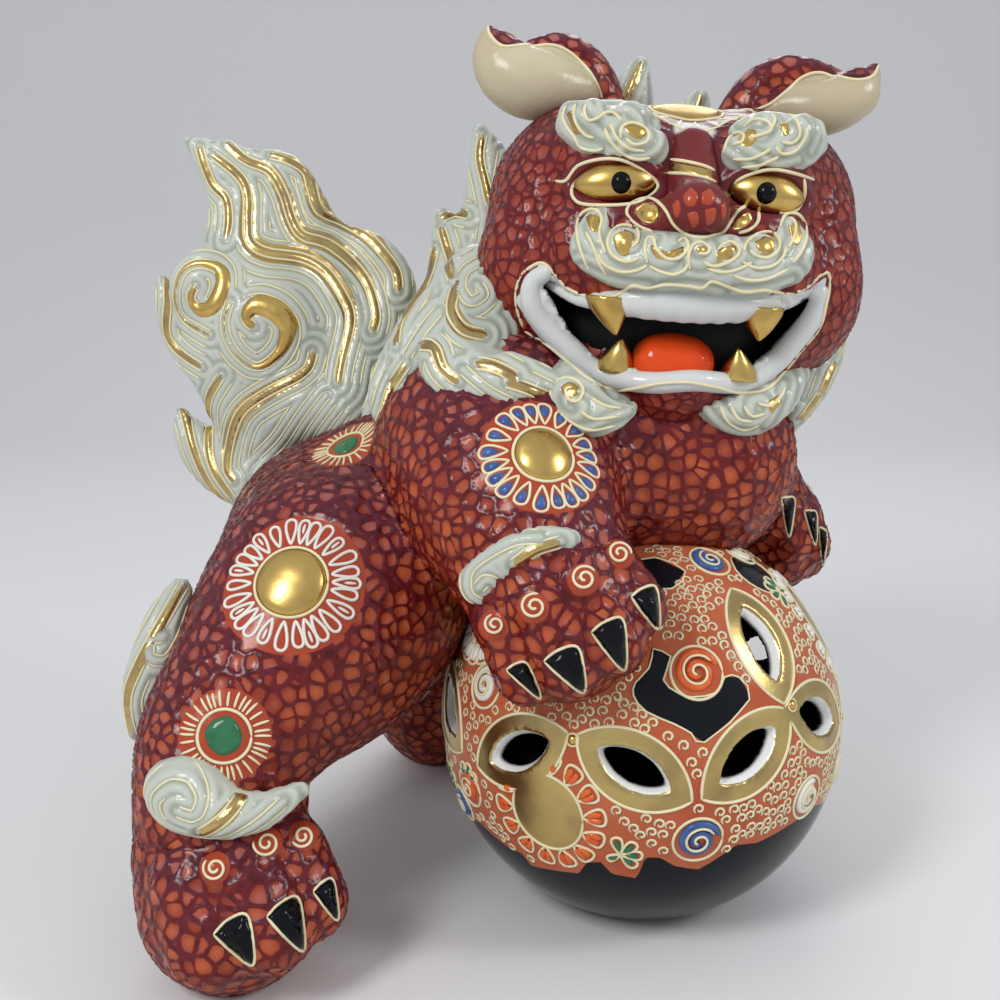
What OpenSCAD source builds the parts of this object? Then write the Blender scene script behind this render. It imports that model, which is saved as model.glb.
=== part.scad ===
// Guardian lion with an openwork ball, glazed ceramic, about 29 cm tall.
// Z is up, the table is Z = 0, and the lion's face looks along -Y.
// Every casting is its own solid, cut by the one that it is luted to.

/* [Ball] */
// Outer diameter of the ball
ball_d = 135; // [134:0.5:136]
// Height of the ball's centre over its flat foot
ball_z = 61; // [60:0.5:62]
// Thickness of the ball's wall
ball_wall = 5; // [4:0.5:6]
// Height of the joint between the two half shells
seam_z = 46; // [44:1:47]
// Length of each leaf window
window_l = 25; // [22:0.5:27]
// Width of each leaf window
window_w = 11.5; // [9:0.5:13]

/* [Body] */
// Thickness of the hollow castings' walls
wall = 5; // [4:0.5:6]
// Diameter of the vent hole in the belly
vent_d = 8; // [5:0.5:12]

/* [Head] */
// Turn of the head about its own fore and aft axis, in degrees
head_roll = 4; // [3:0.5:5]
// Half width of each gold eye
eye_w = 12; // [11:0.5:12.5]
// Half height of each gold eye
eye_h = 6.4; // [6:0.2:7]
// Length of each fang
fang_l = 11; // [8:0.5:12]

/* [Claws] */
// Length of each claw
claw_l = 15; // [12:0.5:17]
// Radius of each claw where it leaves the toe
claw_r = 5; // [4:0.25:5.5]

/* [Detail] */
// Facets round each smooth form
facets = 12; // [10:2:16]
// Steps between two route points of the body and the legs
steps = 2; // [1:1:3]

/* [Hidden] */

// The plan centre of the whole statue, which is the frame's origin
centre = [-52.5, 20.4, 0];
ball_c = [-3, 0, ball_z];
ball_r = ball_d / 2;
head_c = [4.5, 22, 214];
eps = 0.1;

// Windows: longitude from -Y towards +X, latitude, slope of the long axis
belt = [[-40, 7, 30], [-7.5, 7.5, -28], [23.5, 9.5, 34], [53, 13, -25], [89, 10, 30],
    [128, 10, -30], [167, 10, 30], [205, 10, -30], [244, 10, 30], [283, 8, -30]];
risers = [[37, 37, 90], [186, 37, 90], [263, 37, 90]];

// Routes: each point is X, Y, Z and the radius there
torso_route = [[-107, 22, 114, 40], [-84, 21, 125, 39], [-60, 19, 137, 39], [-34, 16, 144, 40],
    [-8, 14, 149, 40], [11, 14, 150, 38]];
neck_route = [[-20, 24, 160, 40], [-6, 26, 182, 38], [4, 24, 196, 36]];

foreleg_right_route = [[-53, -4, 157, 37], [-48, -22, 147, 34], [-42, -38, 134, 29], [-36, -47, 123, 25]];
foreleg_left_route = [[22, 26, 148, 22], [34, 32, 138, 20], [43, 37, 126, 18]];
hindleg_right_route = [[-104, -3, 106, 43], [-112, -14, 96, 40], [-124, -30, 84, 32],
    [-136, -42, 68, 27], [-137, -49, 52, 26]];
hindleg_left_route = [[-96, 48, 104, 40], [-91, 60, 92, 36], [-86, 76, 76, 29],
    [-82, 92, 58, 25], [-80, 100, 46, 24]];

// Paws: the palm, then the toes, each from its knuckle to its claw
forepaw_right_palm = [[-36, -50, 117, 22], [-32, -54, 108, 20]];
forepaw_right_toes = [[[-21, -56, 129, 9], [-12, -60, 118, 9]], [[-28, -63, 127, 10], [-19, -67, 110, 10]],
    [[-39, -65, 120, 10], [-31, -69, 104, 10]], [[-49, -59, 113, 9.5], [-43, -64, 99, 9]]];
forepaw_left_palm = [[44, 38, 120, 18], [49, 37, 112, 16]];
forepaw_left_toes = [[[49, 25, 128, 8], [52, 24, 117, 8]], [[56, 31, 125, 8], [60, 31, 114, 8]],
    [[59, 41, 120, 8], [61, 41, 107, 8]]];
hindpaw_right_palm = [[-138, -50, 34, 26], [-133, -58, 25, 28]];
hindpaw_right_toes = [[[-140, -70, 36, 14], [-135, -77, 22, 14]], [[-127, -70, 40, 14], [-119, -76, 26, 14]],
    [[-116, -62, 40, 13], [-109, -66, 28, 12]]];
hindpaw_left_palm = [[-82, 102, 30, 25], [-78, 106, 24, 26]];
hindpaw_left_toes = [[[-74, 92, 32, 12], [-66, 88, 20, 12]], [[-66, 102, 34, 12], [-56, 100, 21, 12]],
    [[-64, 113, 32, 12], [-55, 114, 20, 12]]];

// Claws: the middle of the cuticle and the tip
claws_fr = [[[-11, -67, 125], [-5, -65, 112]], [[-21, -76, 118], [-15, -73, 103]],
    [[-34, -78, 111], [-28, -75, 97]], [[-46, -73, 105], [-40, -70, 93]]];
claws_fl = [[[49, 18, 131], [52, 18, 119]], [[59, 24, 127], [63, 25, 115]], [[66, 36, 120], [67, 37, 108]]];
claws_hr = [[[-127, -85, 33], [-121, -88, 20]], [[-112, -82, 37], [-107, -82, 23]], [[-103, -71, 37], [-98, -71, 25]]];
claws_hl = [[[-60, 79, 25], [-53, 78, 13]], [[-47, 97, 27], [-42, 97, 14]], [[-46, 116, 26], [-41, 117, 13]]];

// Tail: flat locks, all in one upright sheet
tail_locks = [
    [[-165, 70, 257, 2], [-156, 70, 249, 7], [-149, 70, 236, 10], [-148, 68, 219, 13], [-144, 62, 200, 16], [-132, 56, 178, 17], [-120, 50, 162, 14]],
    [[-141, 70, 251, 3], [-131, 70, 245, 8], [-125, 70, 231, 11], [-120, 68, 213, 14], [-112, 62, 194, 16], [-108, 54, 176, 14], [-108, 48, 160, 13]],
    [[-111, 68, 224, 3], [-99, 67, 215, 9], [-93, 65, 203, 11], [-96, 60, 189, 12], [-103, 52, 174, 11], [-106, 46, 158, 11]],
    [[-176, 62, 207, 2], [-173, 62, 196, 6], [-165, 62, 184, 10], [-153, 60, 174, 13], [-140, 54, 164, 14], [-128, 50, 160, 12]],
    [[-171, 58, 158, 2], [-166, 57, 148, 7], [-157, 56, 140, 11], [-146, 52, 136, 13], [-134, 46, 130, 13]],
    [[-151, 70, 254, 3], [-143, 70, 240, 8], [-136, 69, 222, 12], [-130, 64, 200, 13], [-124, 55, 176, 13]],
    [[-158, 62, 205, 9], [-152, 60, 192, 13], [-146, 56, 170, 16], [-140, 52, 150, 13]]];
tail_curl_small = [-158, 54, 205];
tail_curl_large = [-136, 50, 188];

// Mane: locks that lie against the neck and the shoulder
mane_right_locks = [
    [[-58, 56, 259, 3], [-54, 56, 247, 8], [-52, 54, 231, 13], [-51, 48, 213, 17], [-52, 42, 195, 17]],
    [[-72, 54, 230, 3], [-68, 54, 220, 8], [-66, 52, 206, 12], [-67, 44, 190, 15], [-72, 34, 176, 13]],
    [[-64, 46, 204, 12], [-77, 40, 189, 11], [-85, 32, 174, 10], [-91, 24, 162, 8], [-95, 18, 154, 4]],
    [[-56, 16, 206, 15], [-70, 0, 193, 12], [-79, -8, 184, 8], [-82, -14, 176, 3]],
    [[-50, 4, 206, 13], [-62, -12, 195, 11], [-67, -26, 185, 8], [-63, -35, 177, 3]],
    [[-42, -6, 198, 11], [-50, -22, 191, 9], [-51, -34, 184, 7], [-44, -40, 177, 3]],
    [[-66, 26, 196, 14], [-80, 16, 182, 11], [-88, 8, 172, 7], [-90, 2, 165, 3]]];
mane_left_locks = [
    [[54, 40, 226, 15], [59, 36, 208, 12], [60, 30, 193, 10], [57, 24, 179, 9], [50, 18, 167, 7], [44, 14, 158, 4]],
    [[52, 24, 196, 12], [52, 10, 180, 9], [46, 2, 168, 5]]];
mane_back_locks = [
    [[-34, 62, 258, 6], [-36, 70, 240, 14], [-40, 70, 214, 17], [-46, 62, 188, 16], [-54, 52, 166, 10], [-60, 44, 152, 4]],
    [[-12, 66, 262, 6], [-12, 78, 242, 14], [-14, 80, 214, 17], [-18, 72, 186, 16], [-24, 62, 164, 10], [-28, 54, 148, 4]],
    [[12, 66, 260, 6], [14, 78, 240, 14], [14, 80, 212, 17], [12, 72, 184, 16], [8, 62, 162, 10], [6, 54, 146, 4]],
    [[34, 60, 254, 6], [38, 68, 236, 14], [42, 68, 210, 17], [40, 60, 184, 15], [34, 52, 164, 10], [30, 44, 148, 4]]];
nape_hollow = [[-22, 62, 240, 12], [-20, 66, 214, 14], [-22, 58, 188, 12]];
mane_crown_locks = [
    [[-2, 50, 281, 3], [-5, 52, 270, 8], [-8, 56, 258, 11], [-10, 62, 246, 10]],
    [[19, 48, 270, 3], [16, 52, 262, 7], [12, 58, 252, 9]]];

function blend(a, b, c, d, t) = 0.5 * (2 * b + (c - a) * t + (2 * a - 5 * b + 4 * c - d) * t * t
    + (3 * b - a - 3 * c + d) * t * t * t);
function smooth(p, n) = [for (i = [0 : len(p) - 2]) for (k = [0 : n - 1])
    blend(p[max(i - 1, 0)], p[i], p[i + 1], p[min(i + 2, len(p) - 1)], k / n), p[len(p) - 1]];

// A rounded limb that follows a route
module limb(route, grow = 0, flat = 1, n = 1, sides = facets) {
    q = smooth(route, n);
    for (i = [0 : len(q) - 2]) hull() {
        bead(q[i], grow, flat, sides);
        bead(q[i + 1], grow, flat, sides);
    }
}

module bead(p, grow, flat, sides) {
    translate([p.x, p.y, p.z]) scale([1, flat, 1]) sphere(max(p[3] + grow, 0.5), $fn = sides);
}

module locks(list, grow = 0, flat = 1) {
    for (r = list) limb(r, grow, flat);
}

module ball_solid(grow = 0) {
    translate(ball_c) sphere(ball_r + grow, $fn = 96);
}

// The seat that the chest and the paws are pressed onto, just outside the ball
module ball_seat() {
    translate(ball_c) sphere(ball_r / cos(180 / 36) + eps, $fn = 36);
}

module leaf_2d(l, w) {
    r = (l * l + w * w) / (4 * w);
    intersection() {
        translate([0, r - w / 2]) circle(r, $fn = 96);
        translate([0, w / 2 - r]) circle(r, $fn = 96);
    }
}

module window(w) {
    translate(ball_c) rotate([0, 0, w.x]) rotate([-w.y, 0, 0]) rotate([0, -w.z, 0])
        rotate([90, 0, 0]) translate([0, 0, ball_r - ball_wall - 8]) linear_extrude(ball_wall + 16)
            leaf_2d(window_l, window_w);
}

module ball_upper() {
    color("darkorange") translate(-centre) difference() {
        ball_solid();
        translate(ball_c) sphere(ball_r - ball_wall, $fn = 96);
        translate([-100, -100, seam_z - 200]) cube(200);
        for (w = belt) window(w);
        for (w = risers) window(w);
    }
}

module ball_lower() {
    color("#201c1c") translate(-centre) difference() {
        intersection() {
            ball_solid();
            translate([-100, -100, 0]) cube([200, 200, seam_z]);
        }
        intersection() {
            translate(ball_c) sphere(ball_r - ball_wall, $fn = 96);
            translate([-100, -100, ball_wall]) cube(200);
        }
    }
}

// The head's own frame, at its centre
module at_head() {
    translate(head_c) rotate([0, head_roll, 0]) children();
}

module head_half(grow) {
    translate([24, -6, 15]) sphere(33 + grow, $fn = 20);
    translate([31, -12, -6]) sphere(29 + grow, $fn = 20);
    translate([15, -34, 2]) sphere(20 + grow, $fn = 16);
    translate([20, -28, 25]) sphere(18 + grow, $fn = 16);
    translate([18, -20, -25]) sphere(21 + grow, $fn = 16);
}

module head_form(grow = 0) {
    at_head() hull() {
        head_half(grow);
        mirror([1, 0, 0]) head_half(grow);
        translate([0, 16, 6]) sphere(40 + grow, $fn = 20);
        translate([0, -29, -30]) sphere(20 + grow, $fn = 16);
    }
}

// The skull with its brow bones and cheeks
module head_skin(grow = 0) {
    head_form(grow);
    at_head() for (s = [-1, 1]) {
        limb([[s * 38, -24, 30, 9], [s * 24, -36, 31, 9], [s * 10, -36, 31, 8]], grow);
        limb([[s * 44, -22, 16, 10], [s * 46, -22, 2, 11], [s * 44, -24, -12, 9]], grow);
    }
}

// The hollow inside the head, which opens at the mouth
module head_hollow() {
    at_head() hull() {
        for (s = [-1, 1]) {
            translate([s * 24, -6, 15]) sphere(33 - wall - 1, $fn = 12);
            translate([s * 31, -12, -6]) sphere(29 - wall - 1, $fn = 12);
            translate([s * 15, -34, 2]) sphere(20 - wall - 1, $fn = 12);
            translate([s * 18, -20, -25]) sphere(21 - wall - 1, $fn = 12);
        }
        translate([0, 16, 6]) sphere(40 - wall - 1, $fn = 12);
    }
}

// Outline of the open mouth, looking at the face
module mouth_2d() {
    polygon([[-44, -5], [-38, -14], [-31, -24], [-22, -31], [-8, -32], [8, -32], [22, -31], [31, -24],
        [38, -14], [44, -5], [30, -12], [12, -14], [-12, -14], [-30, -12]]);
}

module mouth_cut() {
    at_head() rotate([90, 0, 0]) translate([0, 0, -6]) linear_extrude(70) mouth_2d();
}

lip_route_upper = [[-45, -30, -3, 4.5], [-35, -42, -5, 4.5], [-22, -51, -8, 5.5], [0, -55, -8, 6],
    [22, -51, -8, 5.5], [35, -42, -5, 4.5], [45, -30, -3, 4.5]];
lip_route_lower = [[-45, -30, -3, 4.5], [-45, -32, -15, 5], [-37, -36, -27, 5.5], [-23, -44, -36, 5.5],
    [0, -49, -37, 5], [23, -44, -36, 5.5], [37, -36, -27, 5.5], [45, -32, -15, 5], [45, -30, -3, 4.5]];

module lips_form() {
    at_head() {
        limb(lip_route_upper);
        limb(lip_route_lower);
    }
}

module fang_pair(y, z, x, up) {
    for (s = [-1, 1]) at_head() translate([s * x, y, z]) rotate([up > 0 ? 6 : 174, 0, 0])
        children();
}

module fangs_upper_form(grow = 0) {
    fang_pair(-55, -8, 24, -1) cylinder(h = fang_l + 4, r1 = 5.6 + grow, r2 = 0.6, $fn = 24);
}

module fangs_lower_form(grow = 0) {
    fang_pair(-47, -36, 20, 1) cylinder(h = fang_l + 2, r1 = 5 + grow, r2 = 0.6, $fn = 24);
}

module head() {
    color("brown") translate(-centre) difference() {
        head_skin();
        head_hollow();
        mouth_cut();
        eye_balls(1, 0.2, 16);
        eye_balls(-1, 0.2, 16);
    }
}

module lips() {
    color("ivory") translate(-centre) difference() {
        lips_form();
        head_skin(0.02);
        fangs_upper_form(0.1);
        fangs_lower_form(0.1);
    }
}

moustache_route = [[-31, -47, 6, 8], [-20, -53, 1, 9], [-8, -57, 1, 9], [8, -57, 1, 9], [20, -53, 1, 9],
    [31, -47, 6, 8]];

module moustache_form() {
    at_head() {
        limb(moustache_route);
        for (s = [-1, 1]) {
            limb([[s * 31, -47, 6, 8], [s * 31, -47, 13, 5], [s * 30, -46, 18, 3]]);
        }
    }
}

module moustache() {
    color("honeydew") translate(-centre) difference() {
        moustache_form();
        head_skin(0.02);
        lips_form();
        fangs_upper_form(0.1);
    }
}

module nose_form() {
    at_head() {
        limb([[0, -40, 34, 8], [0, -46, 25, 9], [0, -55, 17, 10.5]]);
        for (s = [-1, 1]) limb([[0, -54, 17, 9], [s * 9, -53, 14, 6.5], [s * 14, -50, 13, 5]]);
    }
}

module nose() {
    color("maroon") translate(-centre) difference() {
        nose_form();
        head_skin(0.02);
        moustache_form();
        lips_form();
    }
}

module eye_balls(s, grow = 0, sides = 32) {
    at_head() translate([s * 22, -43, 22.5]) scale([(eye_w + grow) / 10, (9 + grow) / 10, (eye_h + grow) / 10])
        sphere(10, $fn = sides);
}

module eye_right() {
    color("gold") translate(-centre) eye_balls(-1);
}

module eye_left() {
    color("gold") translate(-centre) eye_balls(1);
}

module brow_form(s) {
    at_head() {
        limb([[s * 36, -36, 38, 4], [s * 30, -42, 36, 7], [s * 20, -45, 34, 8], [s * 11, -46, 33, 6],
            [s * 6, -46, 36, 3]]);
        limb([[s * 36, -34, 44, 3], [s * 28, -38, 42, 6], [s * 18, -40, 42, 6], [s * 10, -40, 42, 3]]);
    }
}

module brow(s) {
    color("honeydew") translate(-centre) difference() {
        brow_form(s);
        head_skin(0.02);
        eye_balls(s, 0.3, 16);
        nose_form();
    }
}

module ear_right_form(grow = 0) {
    limb([[-24, 30, 258, 12], [-27, 28, 272, 13], [-40, 25, 276, 13.5], [-50, 24, 275, 9],
        [-56, 23, 281, 4], [-55, 23, 288, 2]], grow, 0.7);
}

module ear_left_form(grow = 0) {
    limb([[35, 30, 256, 12], [41, 28, 269, 12], [53, 25, 269, 13], [64, 24, 268, 9], [70, 23, 272, 4],
        [71, 23, 277, 2]], grow, 0.7);
}

module ear_right() {
    color("wheat") translate(-centre) difference() {
        ear_right_form();
        head_skin(0.02);
    }
}

module ear_left() {
    color("wheat") translate(-centre) difference() {
        ear_left_form();
        head_skin(0.02);
    }
}

module forehead_disc() {
    color("gold") translate(-centre) at_head() translate([0, -14, 45.5]) rotate([16, 0, 0])
        translate([0, 0, 2]) cylinder(h = 3, r = 12, $fn = 48);
}

module fangs_upper() {
    color("gold") translate(-centre) fangs_upper_form();
}

module fangs_lower() {
    color("gold") translate(-centre) fangs_lower_form();
}

module tongue() {
    color("orangered") translate(-centre) difference() {
        at_head() scale([1.25, 1, 0.8])
            limb([[0, -43, -34, 9], [0, -40, -34, 10], [0, -34, -36, 9.5], [0, -22, -42, 7]], 0, 1, 3);
        lips_form();
        difference() {
            head_skin(0.02);
            head_hollow();
            mouth_cut();
        }
        fangs_lower_form(0.1);
    }
}

module beard(s) {
    color("honeydew") translate(-centre) difference() {
        at_head() {
            limb([[s * 42, -26, -32, 5], [s * 34, -32, -38, 7], [s * 26, -37, -42, 7.5], [s * 17, -40, -44, 5],
                [s * 11, -42, -43, 3]]);
            limb([[s * 38, -26, -40, 4], [s * 28, -32, -46, 5], [s * 18, -36, -48, 3]]);
        }
        head_skin(0.02);
        lips_form();
        torso_form(0.05);
    }
}

module torso_form(grow = 0) {
    limb(torso_route, grow, 1, steps);
    limb(neck_route, grow, 1, steps);
}

module torso() {
    color("sienna") translate(-centre) difference() {
        torso_form();
        limb(torso_route, -wall);
        head_skin(eps);
        ball_seat();
        translate([-62, 19, 60]) cylinder(h = 60, d = vent_d, $fn = 24);
    }
}

module mane_crown() {
    color("honeydew") translate(-centre) difference() {
        locks(mane_crown_locks);
        head_skin(0.02);
    }
}

module mane_back_form(grow = 0) {
    locks(mane_back_locks, grow);
}

module mane_back() {
    color("honeydew") translate(-centre) difference() {
        mane_back_form();
        limb(nape_hollow);
        head_skin(0.02);
        torso_form(0.02);
        locks(mane_crown_locks, 0.05);
    }
}

module mane_right() {
    color("honeydew") translate(-centre) difference() {
        locks(mane_right_locks);
        head_skin(0.02);
        torso_form(0.02);
        mane_back_form(0.02);
        lips_form();
        limb(foreleg_right_route, 0.02, 1, steps);
    }
}

module mane_left() {
    color("honeydew") translate(-centre) difference() {
        locks(mane_left_locks);
        head_skin(0.02);
        torso_form(0.02);
        mane_back_form(0.02);
        lips_form();
        limb(foreleg_left_route, 0.02, 1, steps);
    }
}

module leg(route) {
    color("sienna") translate(-centre) difference() {
        limb(route, 0, 1, steps);
        difference() {
            limb(route, -wall);
            children(1);
        }
        torso_form(0.02);
        ball_seat();
        head_skin(eps);
        children(0);
    }
}

module paw_form(palm, toes, grow = 0) {
    limb(palm, grow);
    for (t = toes) limb(t, grow, 1, 1, facets - 2);
}

module above_table() {
    intersection() {
        children();
        translate([-300, -300, 0]) cube(600);
    }
}

// Each claw is a cone that lies half sunk in its toe
module claw_set(list, grow = 0) {
    for (c = list) {
        d = c[1] - c[0];
        n = d / norm(d);
        translate(c[0]) rotate([0, acos(n.z), atan2(n.y, n.x)])
            cylinder(h = claw_l + grow, r1 = claw_r + grow, r2 = 0.8 + grow, $fn = grow > 0 ? 14 : 24);
    }
}

// The hollow of a paw runs up into the leg that is luted on top of it
module paw(palm, toes, claws, leg) {
    color("sienna") translate(-centre) above_table() difference() {
        paw_form(palm, toes);
        limb(concat([leg[len(leg) - 2], leg[len(leg) - 1]], palm), -wall - 2);
        ball_seat();
        claw_set(claws, 0.1);
        children();
    }
}

module foreleg_right() {
    leg(foreleg_right_route) {
        paw_form(forepaw_right_palm, forepaw_right_toes, 0.02);
        paw_form(forepaw_right_palm, forepaw_right_toes, wall);
    }
}

module foreleg_left() {
    leg(foreleg_left_route) {
        paw_form(forepaw_left_palm, forepaw_left_toes, 0.02);
        paw_form(forepaw_left_palm, forepaw_left_toes, wall);
    }
}

module hindleg_right() {
    leg(hindleg_right_route) {
        paw_form(hindpaw_right_palm, hindpaw_right_toes, 0.02);
        paw_form(hindpaw_right_palm, hindpaw_right_toes, wall);
    }
}

module hindleg_left() {
    leg(hindleg_left_route) {
        paw_form(hindpaw_left_palm, hindpaw_left_toes, 0.02);
        paw_form(hindpaw_left_palm, hindpaw_left_toes, wall);
    }
}

module forepaw_right() {
    paw(forepaw_right_palm, forepaw_right_toes, claws_fr, foreleg_right_route) torso_form(0.02);
}

module forepaw_left() {
    paw(forepaw_left_palm, forepaw_left_toes, claws_fl, foreleg_left_route) torso_form(0.02);
}

module hindpaw_right() {
    paw(hindpaw_right_palm, hindpaw_right_toes, claws_hr, hindleg_right_route) torso_form(0.02);
}

module hindpaw_left() {
    paw(hindpaw_left_palm, hindpaw_left_toes, claws_hl, hindleg_left_route) torso_form(0.02);
}

module claws_forepaw_right() {
    color("black") translate(-centre) difference() {
        claw_set(claws_fr);
        ball_seat();
    }
}

module claws_forepaw_left() {
    color("black") translate(-centre) difference() {
        claw_set(claws_fl);
        ball_seat();
    }
}

module claws_hindpaw_right() {
    color("black") translate(-centre) claw_set(claws_hr);
}

module claws_hindpaw_left() {
    color("black") translate(-centre) claw_set(claws_hl);
}

// Small tufts that lie on a leg
wrist_tuft_route = [[-57, -57, 123, 5], [-53, -60, 129, 8], [-47, -63, 135, 7], [-38, -64, 139, 5], [-30, -62, 140, 3]];
wrist_tuft_left_route = [[58, 46, 131, 4], [60, 52, 126, 7], [56, 58, 119, 6], [48, 60, 112, 3]];
hock_tuft_right_route = [[-155, -16, 110, 4], [-158, -20, 102, 7], [-160, -24, 92, 9], [-165, -28, 80, 7], [-167, -32, 68, 3]];
hock_tuft_left_route = [[-118, 86, 106, 4], [-121, 92, 98, 7], [-120, 98, 88, 9], [-118, 104, 76, 7], [-115, 108, 66, 3]];
ankle_tuft_right_route = [[-152, -62, 76, 6], [-144, -68, 67, 12], [-132, -74, 62, 8], [-120, -74, 61, 6], [-108, -68, 64, 3]];
ankle_tuft_left_route = [[-101, 84, 44, 7], [-92, 77, 46, 12], [-82, 74, 52, 8], [-74, 76, 56, 5], [-68, 80, 58, 3]];

module tuft(route) {
    color("honeydew") translate(-centre) difference() {
        limb(route, 0, 1, 1, facets - 2);
        children(0);
        children(1);
        children(2);
    }
}

module wrist_tuft_right() {
    tuft(wrist_tuft_route) {
        limb(foreleg_right_route, 0.02, 1, steps);
        paw_form(forepaw_right_palm, forepaw_right_toes, 0.02);
        torso_form(0.02);
    }
}

module wrist_tuft_left() {
    tuft(wrist_tuft_left_route) {
        limb(foreleg_left_route, 0.02, 1, steps);
        paw_form(forepaw_left_palm, forepaw_left_toes, 0.02);
        torso_form(0.02);
    }
}

module hock_tuft_right() {
    tuft(hock_tuft_right_route) {
        limb(hindleg_right_route, 0.02, 1, steps);
        paw_form(hindpaw_right_palm, hindpaw_right_toes, 0.02);
        limb(ankle_tuft_right_route, 0.02);
    }
}

module hock_tuft_left() {
    tuft(hock_tuft_left_route) {
        limb(hindleg_left_route, 0.02, 1, steps);
        paw_form(hindpaw_left_palm, hindpaw_left_toes, 0.02);
        limb(ankle_tuft_left_route, 0.02);
    }
}

module ankle_tuft_right() {
    tuft(ankle_tuft_right_route) {
        limb(hindleg_right_route, 0.02, 1, steps);
        paw_form(hindpaw_right_palm, hindpaw_right_toes, 0.02);
        torso_form(0.02);
    }
}

module ankle_tuft_left() {
    tuft(ankle_tuft_left_route) {
        limb(hindleg_left_route, 0.02, 1, steps);
        paw_form(hindpaw_left_palm, hindpaw_left_toes, 0.02);
        torso_form(0.02);
    }
}

module curl_disc(c, r, grow = 0) {
    translate(c) rotate([90, 0, 0]) cylinder(h = 10 + grow, r1 = r + grow, r2 = r * 0.72 + grow, $fn = grow > 0 ? 24 : 40);
}

module tail() {
    color("honeydew") translate(-centre) difference() {
        locks(tail_locks, 0, 0.8);
        torso_form(0.02);
        limb(hindleg_left_route, 0.02, 1, steps);
        limb(hindleg_right_route, 0.02, 1, steps);
        curl_disc(tail_curl_small, 9.5, 0.1);
        curl_disc(tail_curl_large, 15, 0.1);
        locks(mane_right_locks, 0.05);
        mane_back_form(0.05);
    }
}

module tail_curl_upper() {
    color("gold") translate(-centre) curl_disc(tail_curl_small, 9.5);
}

module tail_curl_lower() {
    color("gold") translate(-centre) curl_disc(tail_curl_large, 15);
}

ball_upper();
ball_lower();
torso();
head();
lips();
moustache();
nose();
eye_right();
eye_left();
brow(-1);  // brow_right
brow(1);  // brow_left
ear_right();
ear_left();
forehead_disc();
fangs_upper();
fangs_lower();
tongue();
beard(-1);  // beard_right
beard(1);  // beard_left
mane_crown();
mane_right();
mane_left();
mane_back();
foreleg_right();
foreleg_left();
forepaw_right();
forepaw_left();
hindleg_right();
hindleg_left();
hindpaw_right();
hindpaw_left();
claws_forepaw_right();
claws_forepaw_left();
claws_hindpaw_right();
claws_hindpaw_left();
wrist_tuft_right();
wrist_tuft_left();
hock_tuft_right();
hock_tuft_left();
ankle_tuft_right();
ankle_tuft_left();
tail();
tail_curl_upper();
tail_curl_lower();
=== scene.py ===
import bpy
import math
import numpy as np
import openvdb
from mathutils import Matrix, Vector
from mathutils.bvhtree import BVHTree


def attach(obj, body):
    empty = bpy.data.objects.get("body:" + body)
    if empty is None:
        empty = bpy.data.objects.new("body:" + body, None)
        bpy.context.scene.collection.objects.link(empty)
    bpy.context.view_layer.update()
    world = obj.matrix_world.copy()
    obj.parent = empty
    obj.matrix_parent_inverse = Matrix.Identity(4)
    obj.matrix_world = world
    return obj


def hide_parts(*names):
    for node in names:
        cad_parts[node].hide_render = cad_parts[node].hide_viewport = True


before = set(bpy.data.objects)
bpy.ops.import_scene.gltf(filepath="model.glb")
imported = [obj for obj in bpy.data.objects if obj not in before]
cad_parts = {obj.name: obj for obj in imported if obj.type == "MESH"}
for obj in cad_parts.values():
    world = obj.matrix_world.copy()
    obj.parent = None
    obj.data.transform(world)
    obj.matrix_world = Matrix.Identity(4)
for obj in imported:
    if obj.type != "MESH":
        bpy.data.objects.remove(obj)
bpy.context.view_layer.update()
scene = bpy.context.scene

# ---------------------------------------------------------------- Table, lamps and camera
# A pale table top that sweeps up behind the statue, three soft lamps and an even sky.
# The camera stands in front of the ball, a little over the lion's brow, and looks 12 degrees down.
scene.view_settings.view_transform = "Standard"
eye = bpy.data.cameras.new("camera")
eye.lens, eye.sensor_width, eye.clip_start = 45.0, 36.0, 0.01
eye_stand = bpy.data.objects.new("camera", eye)
eye_stand.location = (0.0016, -0.428, 0.2234)
eye_stand.rotation_euler = (math.radians(78), 0, 0)
scene.collection.objects.link(eye_stand)
scene.camera = eye_stand


def lamp(name, place, aim, size, watts):
    data = bpy.data.lights.new(name, "AREA")
    data.shape, data.size, data.size_y, data.energy = "RECTANGLE", size[0], size[1], watts
    stand = bpy.data.objects.new(name, data)
    stand.location = place
    stand.rotation_euler = (Vector(aim) - Vector(place)).to_track_quat("-Z", "Y").to_euler()
    scene.collection.objects.link(stand)


lamp("window_lamp", (-0.55, -0.75, 0.85), (0, 0, 0.12), (0.28, 0.42), 7.0)
lamp("room_lamp", (0.95, -0.35, 0.7), (0, 0, 0.14), (0.22, 0.34), 3.8)
lamp("back_lamp", (0.1, 0.95, 0.9), (0, 0, 0.14), (0.8, 0.4), 2.2)


def feed(tree, socket, value):
    """Gives a socket a number, a colour or the output of another node."""
    if isinstance(value, bpy.types.NodeSocket):
        tree.links.new(value, socket)
    else:
        socket.default_value = (*value, 1) if socket.type == "RGBA" and len(value) == 3 else value


def add(tree, kind, feeds=None, **sets):
    """A new node with its settings and with what goes into its sockets."""
    n = tree.nodes.new(kind)
    for k, v in sets.items():
        setattr(n, k, v)
    for k, v in (feeds or {}).items():
        feed(tree, n.inputs[k], v)
    return n


def calc(tree, operation, *values, clamp=False):
    """The result of a Math node."""
    return add(tree, "ShaderNodeMath", dict(enumerate(values)), operation=operation, use_clamp=clamp).outputs[0]


def remap(tree, value, lo, hi, to_lo=0.0, to_hi=1.0, smooth=False):
    """A value carried from one range to another, and held at its ends."""
    return add(tree, "ShaderNodeMapRange",
               {"Value": value, "From Min": lo, "From Max": hi, "To Min": to_lo, "To Max": to_hi},
               interpolation_type="SMOOTHSTEP" if smooth else "LINEAR").outputs["Result"]


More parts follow.
